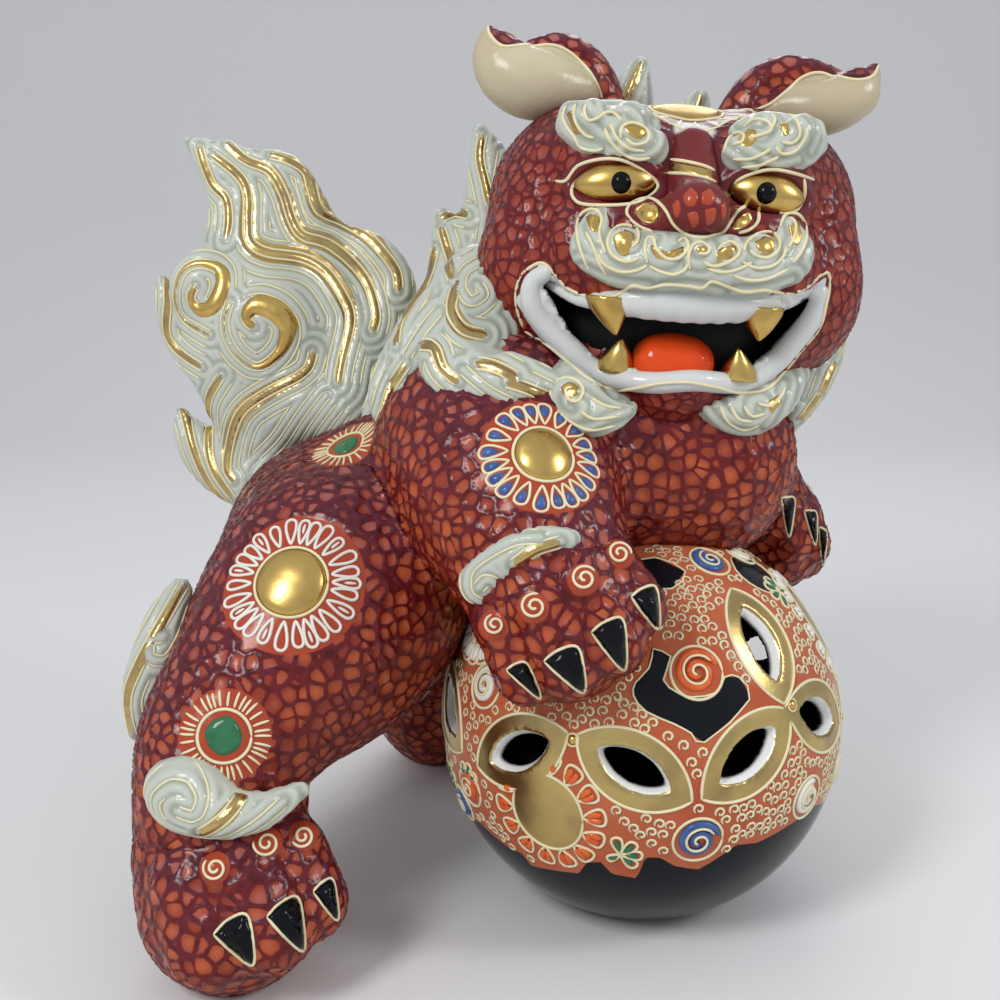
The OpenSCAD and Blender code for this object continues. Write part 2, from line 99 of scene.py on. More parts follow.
# the lens and mirrored rays see a plain pale sky; what lights the statue is whiter and dimmer
sky = bpy.data.worlds.new("sky")
scene.world = sky
sky.use_nodes = True
wt = sky.node_tree
wt.nodes.clear()
lit = add(wt, "ShaderNodeBackground", {"Color": (0.95, 0.97, 1.0), "Strength": 0.62})
seen = add(wt, "ShaderNodeBackground", {"Color": (0.62, 0.66, 0.72), "Strength": 1.0})
ray = add(wt, "ShaderNodeLightPath").outputs
looks = calc(wt, "ADD", ray["Is Camera Ray"], ray["Is Glossy Ray"])
looks = calc(wt, "ADD", looks, ray["Is Transmission Ray"], clamp=True)
pick = add(wt, "ShaderNodeMixShader", {0: looks, 1: lit.outputs[0], 2: seen.outputs[0]})
add(wt, "ShaderNodeOutputWorld", {0: pick.outputs[0]})


def paint(name, color, rough, metal=0.0):
    """A material with one Principled shader, and its tree and the shader's inputs."""
    m = bpy.data.materials.new(name)
    m.use_nodes = True
    m.diffuse_color = (*color, 1)
    shader = m.node_tree.nodes["Principled BSDF"].inputs
    for label, v in (("Base Color", (*color, 1)), ("Roughness", rough), ("Metallic", metal),
                     ("Specular IOR Level", 0.25 if metal < 0.5 else 0.5)):
        shader[label].default_value = v
    return m, m.node_tree, shader


table_paint, t, shader = paint("pale_table", (0.72, 0.72, 0.73), 0.55)
grain = add(t, "ShaderNodeTexNoise", {"Scale": 30})
feed(t, shader["Roughness"], remap(t, grain.outputs["Fac"], 0, 1, 0.48, 0.6))
bend, half_width, rows = 0.9, 4.5, 25      # metres, and rows of which 4 lie flat and 4 stand up
verts = []
for k in range(rows):
    a = math.pi / 2 * max(0, min(1, (k - 4) / 16))
    y = bend + bend * math.sin(a) if k >= 4 else -3.0 + 3.9 * k / 4
    z = bend * (1 - math.cos(a)) + max(0, bend * (k - 20) / 2)
    verts += [(-half_width, y, z), (half_width, y, z)]
me = bpy.data.meshes.new("table_top")
me.from_pydata(verts, [], [(2 * k, 2 * k + 1, 2 * k + 3, 2 * k + 2) for k in range(rows - 1)])
me.polygons.foreach_set("use_smooth", [True] * len(me.polygons))
me.materials.append(table_paint)
table_top = bpy.data.objects.new("table_top", me)
scene.collection.objects.link(table_top)

# ---------------------------------------------------------------- Body: trunk, legs and paws
# One skin of clay over the hollow castings, pressed onto the ball and smoothed where the
# castings are luted together, then covered in raised scales and glazed maroon over orange.
CENTRE = np.array([-52.5, 20.4, 0.0])
BALL = np.array([-3.0, 0.0, 61.0])
BALL_R = 67.5


def flow(route, n=4):
    """Points and radii on a smooth line through a route."""
    p = np.array(route, float)
    q = np.vstack([p[:1], p, p[-1:]])
    out = []
    for i in range(len(p) - 1):
        a, b, c, d = q[i], q[i + 1], q[i + 2], q[i + 3]
        for t in np.arange(n) / n:
            out.append(0.5 * (2 * b + (c - a) * t + (2 * a - 5 * b + 4 * c - d) * t * t
                              + (3 * b - a - 3 * c + d) * t ** 3))
    out.append(p[-1])
    out = np.array(out)
    out[:, 3] = np.maximum(out[:, 3], 0.4)
    return out


def frames(pts, front):
    """Tangent, side and front directions that turn as little as possible along a line."""
    t = np.gradient(pts, axis=0)
    t /= np.linalg.norm(t, axis=1)[:, None] + 1e-9
    f = np.array(front, float)
    fr = []
    for k in t:
        f = f - k * f.dot(k)
        if np.linalg.norm(f) < 1e-3:
            f = np.cross(k, (0.3, 0.5, 0.8))
        f = f / np.linalg.norm(f)
        fr.append(f)
    fr = np.array(fr)
    return t, np.cross(t, fr), fr


def soft_min(a, b, k):
    h = np.maximum(k - np.abs(a - b), 0) / k
    return np.minimum(a, b) - h * h * (k / 4)


class Clay:
    """A block of space sampled every `step` mm that holds the distance to the clay."""

    def __init__(self, lo, hi, step=1.25):
        self.lo, self.step = np.array(lo, float), step
        self.n = np.ceil((np.array(hi) - self.lo) / step).astype(int) + 1
        self.d = np.full(self.n, 25.0, np.float32)

    def window(self, lo, hi):
        """The samples between two corners: their slices and their places along X, Y and Z."""
        a = np.clip(np.floor((np.array(lo) - self.lo) / self.step).astype(int), 0, self.n - 1)
        b = np.clip(np.ceil((np.array(hi) - self.lo) / self.step).astype(int) + 1, a + 1, self.n)
        x, y, z = [(self.lo[i] + self.step * np.arange(a[i], b[i])).astype(np.float32) for i in range(3)]
        return tuple(map(slice, a, b)), x[:, None, None], y[None, :, None], z[None, None, :]

    def roll(self, route, blend=1.0, n=4, flat=1.0):
        """A tapered roll of clay along a route, joined to the rest with a soft fillet."""
        q = flow(route, n)
        reach = blend + 4
        own = Clay(q[:, :3].min(0) - q[:, 3].max() - reach, q[:, :3].max(0) + q[:, 3].max() + reach, self.step)
        own.lo = self.lo + np.round((own.lo - self.lo) / self.step) * self.step
        for a, b in zip(q, q[1:]):
            m = max(a[3], b[3]) + reach
            w, x, y, z = own.window(np.minimum(a, b)[:3] - m, np.maximum(a, b)[:3] + m)
            ab = b[:3] - a[:3]
            px, py, pz = x - a[0], (y - a[1]) / flat, z - a[2]
            aby = ab[1] / flat
            h = np.clip((px * ab[0] + py * aby + pz * ab[2]) / (ab[0] ** 2 + aby ** 2 + ab[2] ** 2 + 1e-6), 0, 1)
            vx, vy, vz = px - h * ab[0], py - h * aby, pz - h * ab[2]
            r = a[3] + h * (b[3] - a[3])
            own.d[w] = np.minimum(own.d[w], (np.sqrt(vx * vx + vy * vy + vz * vz) - r) * min(flat, 1))
        self.join(own, blend)

    def join(self, own, blend):
        a = np.round((own.lo - self.lo) / self.step).astype(int)
        lo, hi = np.maximum(a, 0), np.minimum(a + own.n, self.n)
        if (hi <= lo).any():
            return
        w = tuple(slice(lo[i], hi[i]) for i in range(3))
        v = tuple(slice(lo[i] - a[i], hi[i] - a[i]) for i in range(3))
        self.d[w] = soft_min(self.d[w], own.d[v], blend) if blend > 0 else np.minimum(self.d[w], own.d[v])

    def lump(self, c, r, blend=1.0, sign=1):
        """An ellipsoid added to the clay, or scooped out of it."""
        c, r = np.array(c, float), np.array(r, float) * np.ones(3)
        w, x, y, z = self.window(c - r - blend - 4, c + r + blend + 4)
        k = np.sqrt(((x - c[0]) / r[0]) ** 2 + ((y - c[1]) / r[1]) ** 2 + ((z - c[2]) / r[2]) ** 2)
        d = ((k - 1) * r.min()).astype(np.float32)
        self.d[w] = soft_min(self.d[w], d, blend) if sign > 0 else -soft_min(-self.d[w], d, blend)

    def at(self, p):
        """The distance at given points, between the samples."""
        g = np.clip((p - self.lo) / self.step, 0, self.n - 1.001)
        i = g.astype(int)
        u = (g - i).astype(np.float32)
        out = 0
        for k in range(8):
            o = [(k >> j) & 1 for j in range(3)]
            wt = np.prod([u[:, j] if o[j] else 1 - u[:, j] for j in range(3)], axis=0)
            out = out + wt * self.d[i[:, 0] + o[0], i[:, 1] + o[1], i[:, 2] + o[2]]
        return out

    def fire(self):
        """The skin of the clay as points in mm and four-sided faces that look outwards."""
        grid = openvdb.FloatGrid(25.0)
        grid.copyFromArray(np.ascontiguousarray(self.d))
        p, _, quad = grid.convertToPolygons(isovalue=0.0, adaptivity=0.0)
        p = np.array(p, float) * self.step + self.lo
        quad = np.array(quad, int).reshape(-1, 4)
        a, b, c, d = (p[quad[:, k]] for k in range(4))
        if (np.cross(b - a, c - a) * a).sum() + (np.cross(c - a, d - a) * a).sum() < 0:
            quad = quad[:, ::-1]
        return p, quad


def mesh_of(name, p, groups):
    """A mesh in the shared frame from points in mm and arrays of faces."""
    me = bpy.data.meshes.new(name)
    groups = [np.asarray(g, int) for g in groups if len(g)]
    loops = np.concatenate([g.ravel() for g in groups])
    sizes = np.concatenate([np.full(len(g), g.shape[1]) for g in groups])
    me.vertices.add(len(p))
    me.vertices.foreach_set("co", ((np.asarray(p) - CENTRE) / 1000).astype(np.float32).ravel())
    me.loops.add(len(loops))
    me.loops.foreach_set("vertex_index", loops.astype(np.int32))
    me.polygons.add(len(sizes))
    me.polygons.foreach_set("loop_start", np.concatenate([[0], np.cumsum(sizes)[:-1]]).astype(np.int32))
    me.update(calc_edges=True)
    me.polygons.foreach_set("use_smooth", np.full(len(sizes), True))
    return me


def mark(me, name, values):
    a = me.attributes.new(name, "FLOAT", "POINT")
    a.data.foreach_set("value", np.asarray(values, np.float32))


def place(name, me, material, nodes=(), slot=None):
    """A finished piece: its object, its material, its body and the castings it stands for."""
    ob = bpy.data.objects.new(name, me)
    scene.collection.objects.link(ob)
    me.materials.clear()
    me.materials.append(material)
    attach(ob, "root")
    if nodes:
        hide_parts(*nodes)


torso_route = [(-107, 22, 114, 40), (-84, 21, 125, 39), (-60, 19, 137, 39), (-34, 16, 144, 40),
               (-8, 14, 149, 40), (11, 14, 150, 38)]
neck_route = [(-20, 24, 160, 40), (-6, 26, 182, 38), (4, 24, 196, 36)]
legs = {
    "foreleg_right": [(-53, -4, 157, 37), (-48, -22, 147, 34), (-42, -38, 134, 29), (-36, -47, 123, 25)],
    "foreleg_left": [(22, 26, 148, 22), (34, 32, 138, 20), (43, 37, 126, 18)],
    "hindleg_right": [(-104, -3, 106, 43), (-112, -14, 96, 40), (-124, -30, 84, 32), (-136, -42, 68, 27),
                      (-137, -49, 52, 26)],
    "hindleg_left": [(-96, 48, 104, 40), (-91, 60, 92, 36), (-86, 76, 76, 29), (-82, 92, 58, 25),
                     (-80, 100, 46, 24)]}
palms = {
    "forepaw_right": [(-36, -50, 117, 22), (-32, -54, 108, 20)],
    "forepaw_left": [(44, 38, 120, 18), (49, 37, 112, 16)],
    "hindpaw_right": [(-138, -50, 34, 26), (-133, -58, 25, 28)],
    "hindpaw_left": [(-82, 102, 30, 25), (-78, 106, 24, 26)]}
toes = {
    "forepaw_right": [[(-21, -56, 129, 9), (-12, -60, 118, 9)], [(-28, -63, 127, 10), (-19, -67, 110, 10)],
                      [(-39, -65, 120, 10), (-31, -69, 104, 10)], [(-49, -59, 113, 9.5), (-43, -64, 99, 9)]],
    "forepaw_left": [[(49, 25, 128, 8), (52, 24, 117, 8)], [(56, 31, 125, 8), (60, 31, 114, 8)],
                     [(59, 41, 120, 8), (61, 41, 107, 8)]],
    "hindpaw_right": [[(-140, -70, 36, 14), (-135, -77, 22, 14)], [(-127, -70, 40, 14), (-119, -76, 26, 14)],
                      [(-116, -62, 40, 13), (-109, -66, 28, 12)]],
    "hindpaw_left": [[(-74, 92, 32, 12), (-66, 88, 20, 12)], [(-66, 102, 34, 12), (-56, 100, 21, 12)],
                     [(-64, 113, 32, 12), (-55, 114, 20, 12)]]}

body_lo, body_hi, body_step = (-182, -100, -4), (76, 136, 216), 1.25
shares = {name: Clay(body_lo, body_hi, body_step) for name in ("torso", *legs, *palms)}
shares["torso"].roll(torso_route, 2)
shares["torso"].roll(neck_route, 10)
for name, route in {**legs, **palms}.items():
    shares[name].roll(route, 2)
    for toe in toes.get(name, ()):
        shares[name].roll(toe, 2.2)
body = Clay(body_lo, body_hi, body_step)
for name, c in shares.items():
    body.d = soft_min(body.d, c.d, 9 if name in legs else 5)
w, x, y, z = body.window(body_lo, body_hi)
body.d = np.maximum(body.d, BALL_R + 0.15 - np.sqrt((x - BALL[0]) ** 2 + (y - BALL[1]) ** 2 + (z - BALL[2]) ** 2))
body.d = np.maximum(body.d, -z + 0 * body.d).astype(np.float32)
studs = [(-17.3, -62.5, 134), (-27.8, -72.6, 129.5), (-41.7, -74.2, 121.9), (-52.6, -67.8, 114.6),
         (-131.9, -80.9, 46.7), (-118.6, -73.1, 50.4), (-109.1, -67, 49.5)]
for mid in studs:
    body.lump(np.array(mid) + (0, 1.6, -1.0), 4.9, 1.5)
skin_p, skin_q = body.fire()

# Places that the scales leave bare: middle, outward direction, radius of the bare ring and of the eye
medallions = {
    "chest": ((-38.2, -52.8, 161.5), (0.25, -0.70, 0.67), 18.8, 8.6),
    "haunch": ((-113.8, -44.6, 121.0), (0, -0.85, 0.53), 22.4, 10.8),
    "rump": ((-101.8, 2.9, 154.2), (-0.36, -0.54, 0.77), 12.4, 5.2),
    "shank": ((-131.3, -65.7, 80.4), (0, -0.93, 0.37), 13.8, 6.2)}


def bare_share(p):
    """Above 0 inside a medallion or a stud, below 0 outside, in mm."""
    out = np.full(len(p), -9.0)
    for mid, _, r, _ in medallions.values():
        out = np.maximum(out, r - np.linalg.norm(p - np.array(mid), axis=1))
    for mid in studs:
        out = np.maximum(out, 4.6 - np.linalg.norm(p - np.array(mid), axis=1))
    return np.clip(out, -9, 9)


SCALE = 4.9      # width of one scale, in mm
UNEVEN = 0.85    # 0 for a square net of scales, 1 for a wild one
skin_me = mesh_of("body_skin", skin_p, [skin_q])
mark(skin_me, "bare", bare_share(skin_p))


def group_of(name, kind, ins, outs):
    """An empty node group, what its inputs give and its output node."""
    g = bpy.data.node_groups.new(name, kind)
    for label, socket, value in ins:
        s = g.interface.new_socket(label, in_out="INPUT", socket_type="NodeSocket" + socket)
        if value is not None:
            s.default_value = value
    for label, socket in outs:
        g.interface.new_socket(label, in_out="OUTPUT", socket_type="NodeSocket" + socket)
    return g, add(g, "NodeGroupInput").outputs, add(g, "NodeGroupOutput").inputs


def scale_relief(name, size_mm, height_mm):
    """Raised net between the scales, pushed out of the skin along its normals."""
    g, given, out = group_of(name, "GeometryNodeTree",
                             (("Geometry", "Geometry", None), ("Scale size", "Float", size_mm / 1000),
                              ("Net height", "Float", height_mm / 1000)), (("Geometry", "Geometry"),))
    cells = add(g, "ShaderNodeTexVoronoi",
                {"Vector": add(g, "GeometryNodeInputPosition").outputs[0],
                 "Scale": calc(g, "DIVIDE", 1.0, given["Scale size"]), "Randomness": UNEVEN},
                feature="DISTANCE_TO_EDGE")
    net = remap(g, cells.outputs["Distance"], 0.02, 0.2, 1.0, 0.0, smooth=True)
    bare = add(g, "GeometryNodeInputNamedAttribute", {"Name": "bare"}, data_type="FLOAT")
    keep = remap(g, bare.outputs["Attribute"], -1.5, 0.5, 1.0, 0.0, smooth=True)
    height = calc(g, "MULTIPLY", calc(g, "MULTIPLY", net, keep), given["Net height"])
    push = add(g, "ShaderNodeVectorMath", {0: add(g, "GeometryNodeInputNormal").outputs[0], "Scale": height},
               operation="SCALE")
    moved = add(g, "GeometryNodeSetPosition", {"Geometry": given["Geometry"], "Offset": push.outputs[0]})
    feed(g, out["Geometry"], moved.outputs[0])
    return g


def bake_nodes(me, tree):
    """Runs a node tree over a mesh and returns the plain mesh that it makes."""
    ob = bpy.data.objects.new("making", me)
    scene.collection.objects.link(ob)
    mod = ob.modifiers.new("making", "NODES")
    mod.node_group = tree
    done = bpy.data.meshes.new_from_object(ob.evaluated_get(bpy.context.evaluated_depsgraph_get()))
    bpy.data.objects.remove(ob)
    return done


def points_of(me):
    co = np.empty(len(me.vertices) * 3, np.float32)
    me.vertices.foreach_get("co", co)
    return co.reshape(-1, 3).astype(float) * 1000 + CENTRE


scaled = bake_nodes(skin_me, scale_relief("scales_of_the_body", SCALE, 0.8))
skin_p = points_of(scaled)
mid = skin_p[skin_q].mean(1)
names = list(shares)
near = np.argmin(np.array([shares[k].at(mid) for k in names]), axis=0)


def cut_out(p, quads):
    """The faces as a closed piece: each open rim is closed by a cap inside the clay."""
    used, inv = np.unique(quads, return_inverse=True)
    q = inv.reshape(quads.shape)
    e = np.concatenate([q[:, [0, 1]], q[:, [1, 2]], q[:, [2, 3]], q[:, [3, 0]]])
    key = e[:, 0] * (len(used) + 1) + e[:, 1]
    back = e[:, 1] * (len(used) + 1) + e[:, 0]
    rim = e[~np.isin(key, back)]
    after = {}
    for a, b in rim:
        after.setdefault(b, []).append(a)
    pts, tris = [p[used]], []
    count = len(used)
    while after:
        start = next(iter(after))
        loop, here = [start], after[start].pop()
        if not after[start]:
            del after[start]
        while here != start and here in after:
            loop.append(here)
            nxt = after[here].pop()
            if not after[here]:
                del after[here]
            here = nxt
        centre = p[used[loop]].mean(0)
        pts.append(centre[None])
        for k in range(len(loop)):
            tris.append((loop[k], loop[(k + 1) % len(loop)], count))
        count += 1
    return np.vstack(pts), q, np.array(tris, int).reshape(-1, 3), used


def blend(tree, low, high, factor, **sets):
    """A colour between two others."""
    return add(tree, "ShaderNodeMix", {"A": low, "B": high, "Factor": factor}, data_type="RGBA",
               **sets).outputs["Result"]


def noise(tree, scale, detail=2.0):
    """A cloudy value over the piece."""
    at = add(tree, "ShaderNodeTexCoord").outputs["Object"]
    return add(tree, "ShaderNodeTexNoise", {"Vector": at, "Scale": scale, "Detail": detail}).outputs["Fac"]


def mark_of(tree, name):
    return add(tree, "ShaderNodeAttribute", attribute_name=name).outputs["Fac"]


def inside_mark(tree, name, edge=0.2):
    """0 where a mark in mm is below 0 and 1 where it is above, over a soft edge."""
    return remap(tree, mark_of(tree, name), -edge, edge, smooth=True)


def bump(tree, height, strength, mm):
    return add(tree, "ShaderNodeBump", {"Height": height, "Strength": strength, "Distance": mm / 1000}).outputs[0]


def scaled_glaze(name, size_mm, bare_color=(0.36, 0.052, 0.022), cell_color=(0.46, 0.095, 0.030)):
    """Glaze: a maroon net over orange scales, with a painted sky reflection on the top: where it faces up the net is
    purple and the scales dull pink.
    """
    m, t, shader = paint(name, (0.2, 0.02, 0.015), 0.16)
    at = add(t, "ShaderNodeTexCoord").outputs["Object"]
    cells, middles = (add(t, "ShaderNodeTexVoronoi", {"Vector": at, "Scale": 1000 / size_mm, "Randomness": UNEVEN},
                          feature=kind).outputs for kind in ("DISTANCE_TO_EDGE", "F1"))
    fine, broad = noise(t, 330), noise(t, 28)
    normal = add(t, "ShaderNodeNewGeometry").outputs["Normal"]
    # how far the skin faces up: the mask of the painted sky reflection on the top
    up = remap(t, add(t, "ShaderNodeSeparateXYZ", {0: normal}).outputs["Z"], 0.1, 0.75, smooth=True)

    # the net is thicker in places and at its corners, and thicker where it faces up, which darkens the top as part of
    # the painted light there
    thick = calc(t, "MULTIPLY_ADD", broad, 0.05, calc(t, "MULTIPLY_ADD", up, 0.09, 0.02))
    thick = calc(t, "ADD", thick, remap(t, middles["Distance"], 0.3, 0.72, 0, 0.12))
    inside = remap(t, calc(t, "SUBTRACT", cells["Distance"], thick), -0.02, 0.07, smooth=True)
    # painted reflection: the net turns from red maroon to purple where it faces up
    net = blend(t, (0.135, 0.010, 0.010), (0.105, 0.014, 0.024), up)
    net = blend(t, net, (0.5, 0.4, 0.45), remap(t, fine, 0.45, 0.75), blend_type="MULTIPLY")

    # some scales are duller than others, and each is duller at its rim
    chance = add(t, "ShaderNodeSeparateColor", {0: middles["Color"]}).outputs[0]
    dull = calc(t, "ADD", remap(t, chance, 0.35, 1.0, 0, 0.8), remap(t, middles["Distance"], 0.15, 0.6, 0, 0.7),
                clamp=True)
    # painted reflection: where a scale faces up it turns from orange to a dull pink
    scale = blend(t, blend(t, cell_color, (0.34, 0.10, 0.085), up), (0.24, 0.035, 0.018), dull)
    color = blend(t, blend(t, net, scale, inside), bare_color, inside_mark(t, "bare", 0.25))
    feed(t, shader["Base Color"], color)
    feed(t, shader["Roughness"], remap(t, fine, 0, 1, 0.14, 0.3))
    feed(t, shader["Normal"], bump(t, fine, 0.35, 0.4))
    return m


scale_glaze = scaled_glaze("scaled_skin_glaze", SCALE)
for k, name in enumerate(names):
    p, q, tris, used = cut_out(skin_p, skin_q[near == k])
    me = mesh_of(name + "_skin", p, [q, tris])
    mark(me, "bare", np.concatenate([bare_share(skin_p[used]), np.full(len(p) - len(used), -9.0)]))
    place(name + "_skin", me, scale_glaze, (name,), "scaled_skin")

# ---------------------------------------------------------------- Slip, lustre and the celadon hair
# The tail is one upright sheet of moulded hair: domed curls, wavy ridges with a gold band on the
# tallest, and thin lines of cream slip trailed in the hollows between the ridges.
class Slip:
    """Trailed lines of slip: thin round beads gathered into one mesh."""

    def __init__(self):
        self.p, self.q, self.t, self.n = [], [], [], 0

    def trail(self, pts, r=0.42, sides=6):
        """One bead along points in mm, thin at both ends."""
        pts = np.asarray(pts, float)
        keep = np.r_[True, np.linalg.norm(np.diff(pts, axis=0), axis=1) > 0.15]
        pts = pts[keep]
        m = len(pts)
        if m < 3:
            return
        r = np.full(m, r) * np.clip(np.minimum(np.arange(m), np.arange(m)[::-1]) * 0.45 + 0.4, 0, 1)
        t, s, f = frames(pts, (0.1, -1, 0.2))
        a = np.arange(sides) / sides * 2 * math.pi
        across = np.cos(a)[None, :, None] * s[:, None] + np.sin(a)[None, :, None] * f[:, None]
        ring = pts[:, None] + r[:, None, None] * across
        i, j = np.meshgrid(np.arange(m - 1), np.arange(sides), indexing="ij")
        k = (j + 1) % sides
        q = np.stack([i * sides + j, i * sides + k, (i + 1) * sides + k, (i + 1) * sides + j], -1).reshape(-1, 4)
        self.p += [ring.reshape(-1, 3), pts[:1], pts[-1:]]
        self.q.append(q[:, ::-1] + self.n)
        e, e2 = np.arange(sides), (np.arange(sides) + 1) % sides
        end = (m - 1) * sides
        for tip, a, b in ((m * sides, e, e2), (m * sides + 1, end + e2, end + e)):
            self.t.append(np.stack([np.full(sides, tip), a, b], 1)[:, ::-1] + self.n)
        self.n += m * sides + 2

    def mesh(self, name, turn=None):
        p = np.vstack(self.p)
        return mesh_of(name, turn(p) if turn else p, [np.vstack(self.q), np.vstack(self.t)])


def lustre(name, color, rough):
    """Burnished gold over the glaze, thin and brownish where the brush ran dry."""
    m, t, shader = paint(name, color, rough, 1.0)
    dry = noise(t, 120, 4)
    brown = (color[0] * 0.72, color[1] * 0.6, color[2] * 0.5)
    feed(t, shader["Base Color"], blend(t, color, brown, remap(t, dry, 0.45, 0.75, 0, 0.7)))
    feed(t, shader["Roughness"], remap(t, dry, 0, 1, rough, rough + 0.16))
    feed(t, shader["Normal"], bump(t, dry, 0.25, 0.4))
    return m


gold_lustre = lustre("gold_lustre", (0.62, 0.42, 0.13), 0.2)


def pool_group():
    """Slow change of colour and tiny orange peel that every glaze here shares."""
    white = (1, 1, 1, 1)
    g, given, out = group_of("pooled_glaze", "ShaderNodeTree",
                             (("Color", "Color", white), ("Thin", "Color", white), ("Scale", "Float", 60.0),
                              ("Amount", "Float", 0.5)), (("Color", "Color"), ("Peel", "Float")))
    share = calc(g, "MULTIPLY", remap(g, noise(g, given["Scale"], 3), 0.35, 0.7), given["Amount"])
    feed(g, out["Color"], blend(g, given["Color"], given["Thin"], share))
    feed(g, out["Peel"], noise(g, 420))
    return g


pooled = pool_group()


def pool(tree, color, thin, scale, amount):
    return add(tree, "ShaderNodeGroup", {"Color": color, "Thin": thin, "Scale": scale, "Amount": amount},
               node_tree=pooled).outputs


def glaze(name, color, thin, rough=0.15, amount=0.5, scale=60.0, peel=0.2):
    """A plain glaze: one colour that thins to another, with a faint orange peel."""
    m, t, shader = paint(name, color, rough)
    pooling = pool(t, color, thin, scale, amount)
    feed(t, shader["Base Color"], pooling["Color"])
    feed(t, shader["Normal"], bump(t, pooling["Peel"], peel, 0.3))
    return m


def core(material):
    """A material's tree and its shader's inputs."""
    return material.node_tree, material.node_tree.nodes["Principled BSDF"].inputs


def paint_over(material, color, share):
    """Another colour over what a material shows already."""
    t, shader = core(material)
    feed(t, shader["Base Color"], blend(t, shader["Base Color"].links[0].from_socket, color, share))


slip_glaze = glaze("cream_slip", (0.72, 0.65, 0.40), (0.78, 0.73, 0.54), 0.28)

# celadon white, painted grey green as shade in the hollows between the ridges, with gold brushed on some ridges
hair = glaze("celadon_hair", (0.50, 0.525, 0.46), (0.44, 0.48, 0.43), 0.14)
t, shader = core(hair)
gilt = inside_mark(t, "gold")
# painted shade: grey green laid over the hollows between the ridges
paint_over(hair, (0.27, 0.30, 0.24), remap(t, mark_of(t, "hollow"), 0.3, 1.0, 0, 0.75))
paint_over(hair, blend(t, (0.54, 0.39, 0.15), (0.34, 0.24, 0.12), remap(t, noise(t, 90), 0.4, 0.75)), gilt)
feed(t, shader["Metallic"], calc(t, "MULTIPLY", gilt, 0.92))
feed(t, shader["Roughness"], remap(t, gilt, 0, 1, 0.14, 0.26))


def smooth_line(pts, n=5):
    p = np.array(pts, float)
    q = np.column_stack([p, np.ones((len(p), 4 - p.shape[1]))]) if p.shape[1] < 4 else p
    return flow(q, n)[:, :p.shape[1]]


def touching(p, q):
    """A skin that rays can be cast on."""
    return BVHTree.FromPolygons(p.tolist(), q.tolist())


def seen_from(bvh, x, z, y=-100):
    """The point of a skin met from the front, or from behind where y is above 0."""
    return bvh.ray_cast(Vector((x, y, z)), Vector((0, 1 if y < 0 else -1, 0)))[0]


def nearest(lines, xz):
    """Distance to the nearest of some lines, its number and the share of its length there."""
    best = np.full(len(xz), 1e9)
    who = np.zeros(len(xz), int)
    along = np.zeros(len(xz))
    for k, L in enumerate(lines):
        for i in range(len(L) - 1):
            a, d = L[i], L[i + 1] - L[i]
            h = np.clip(((xz - a) @ d) / (d @ d + 1e-9), 0, 1)
            dist = np.linalg.norm(xz - a - h[:, None] * d, axis=1)
            m = dist < best
            best[m], who[m], along[m] = dist[m], k, ((i + h) / (len(L) - 1))[m]
    return best, who, along


def normals_of(p, q):
    n = np.zeros_like(p)
    fn = np.cross(p[q[:, 2]] - p[q[:, 0]], p[q[:, 3]] - p[q[:, 1]])
    for k in range(4):
        np.add.at(n, q[:, k], fn)
    return n / (np.linalg.norm(n, axis=1)[:, None] + 1e-9)


def hair_piece(name, clay, strands, nodes, pitch=4.4, ridge=0.5, turn=None, hidden=None, sides=(-1,), slip_r=0.5,
               reach=6, crest=0.35):
    """Combed hair: ridges and slip lines that run parallel to the strands drawn on its front.

    A strand is its line and half the width of its gold. The hair is combed on the sides given,
    -1 in front and 1 behind, and no slip is trailed where `hidden` is near 0 or below."""
    p, q = clay.fire()
    n = normals_of(p, q)
    lines, wide = [smooth_line(s[0], 5) for s in strands], np.array([s[1] for s in strands])
    d, who, along = nearest(lines, p[:, [0, 2]])
    gold_w = wide[who] * 1.3
    end = 0.12 + 0.95 * np.sin(math.pi * np.clip(along, 0, 1)) ** 0.7
    combed = np.clip((np.abs(n[:, 1]) - 0.12) / 0.4, 0, 1)
    if len(sides) == 1:
        combed = combed * (n[:, 1] * sides[0] > 0)
    wave = np.cos(2 * math.pi * d / pitch)
    rise = ridge * wave + crest * (gold_w > 0) * np.exp(-(d / np.maximum(gold_w, 0.5)) ** 2) * end
    p2 = p + n * (rise * combed * np.clip(1.6 - d / (pitch * reach), 0, 1))[:, None]
    me = mesh_of(name, turn(p2) if turn else p2, [q])
    # the mask of the painted shade in the hollows between the ridges
    mark(me, "hollow", (0.5 - 0.5 * wave) * combed)
    mark(me, "gold", np.clip(np.where((gold_w > 0) & (combed > 0.02), gold_w * end - d, -3.0), -3, 3))
    place(name, me, hair, nodes, "celadon_mane")
    bvh = touching(p2, q)
    slip = Slip()

    def trail_on(line, shown, side):
        """Slip on the hair along a line, broken where it is hidden or the hair steps back."""
        run = []
        for (x0, z0), good in zip(line, shown):
            hit = seen_from(bvh, x0, z0, 300 * side) if good else None
            if hit is not None:
                h = np.array(hit)
                if (hidden is not None and hidden(h[None])[0] < 0.3) or (run and abs(run[-1][1] - h[1]) > 2.5):
                    hit = None
            if hit is not None:
                run.append(h)
                continue
            if len(run) > 3:
                slip.trail(run, slip_r)
            run = []
        if len(run) > 3:
            slip.trail(run, slip_r)

    for side in sides if slip_r else ():
        for line in lines:
            tan = np.gradient(line, axis=0)
            tan /= np.linalg.norm(tan, axis=1)[:, None] + 1e-9
            nor = np.column_stack([-tan[:, 1], tan[:, 0]])
            for off in pitch * (np.arange(reach) + 0.5):
                for way in (-1, 1):
                    beside = line + nor * off * way
                    beside = smooth_line(beside[::2], 3) if len(beside) > 4 else beside
                    trail_on(beside, nearest(lines, beside)[0] > off - 0.35, side)
    if slip.n:
        place(name + "_slip", slip.mesh(name + "_slip", turn), slip_glaze, (), "celadon_mane")
    return p2, q, bvh


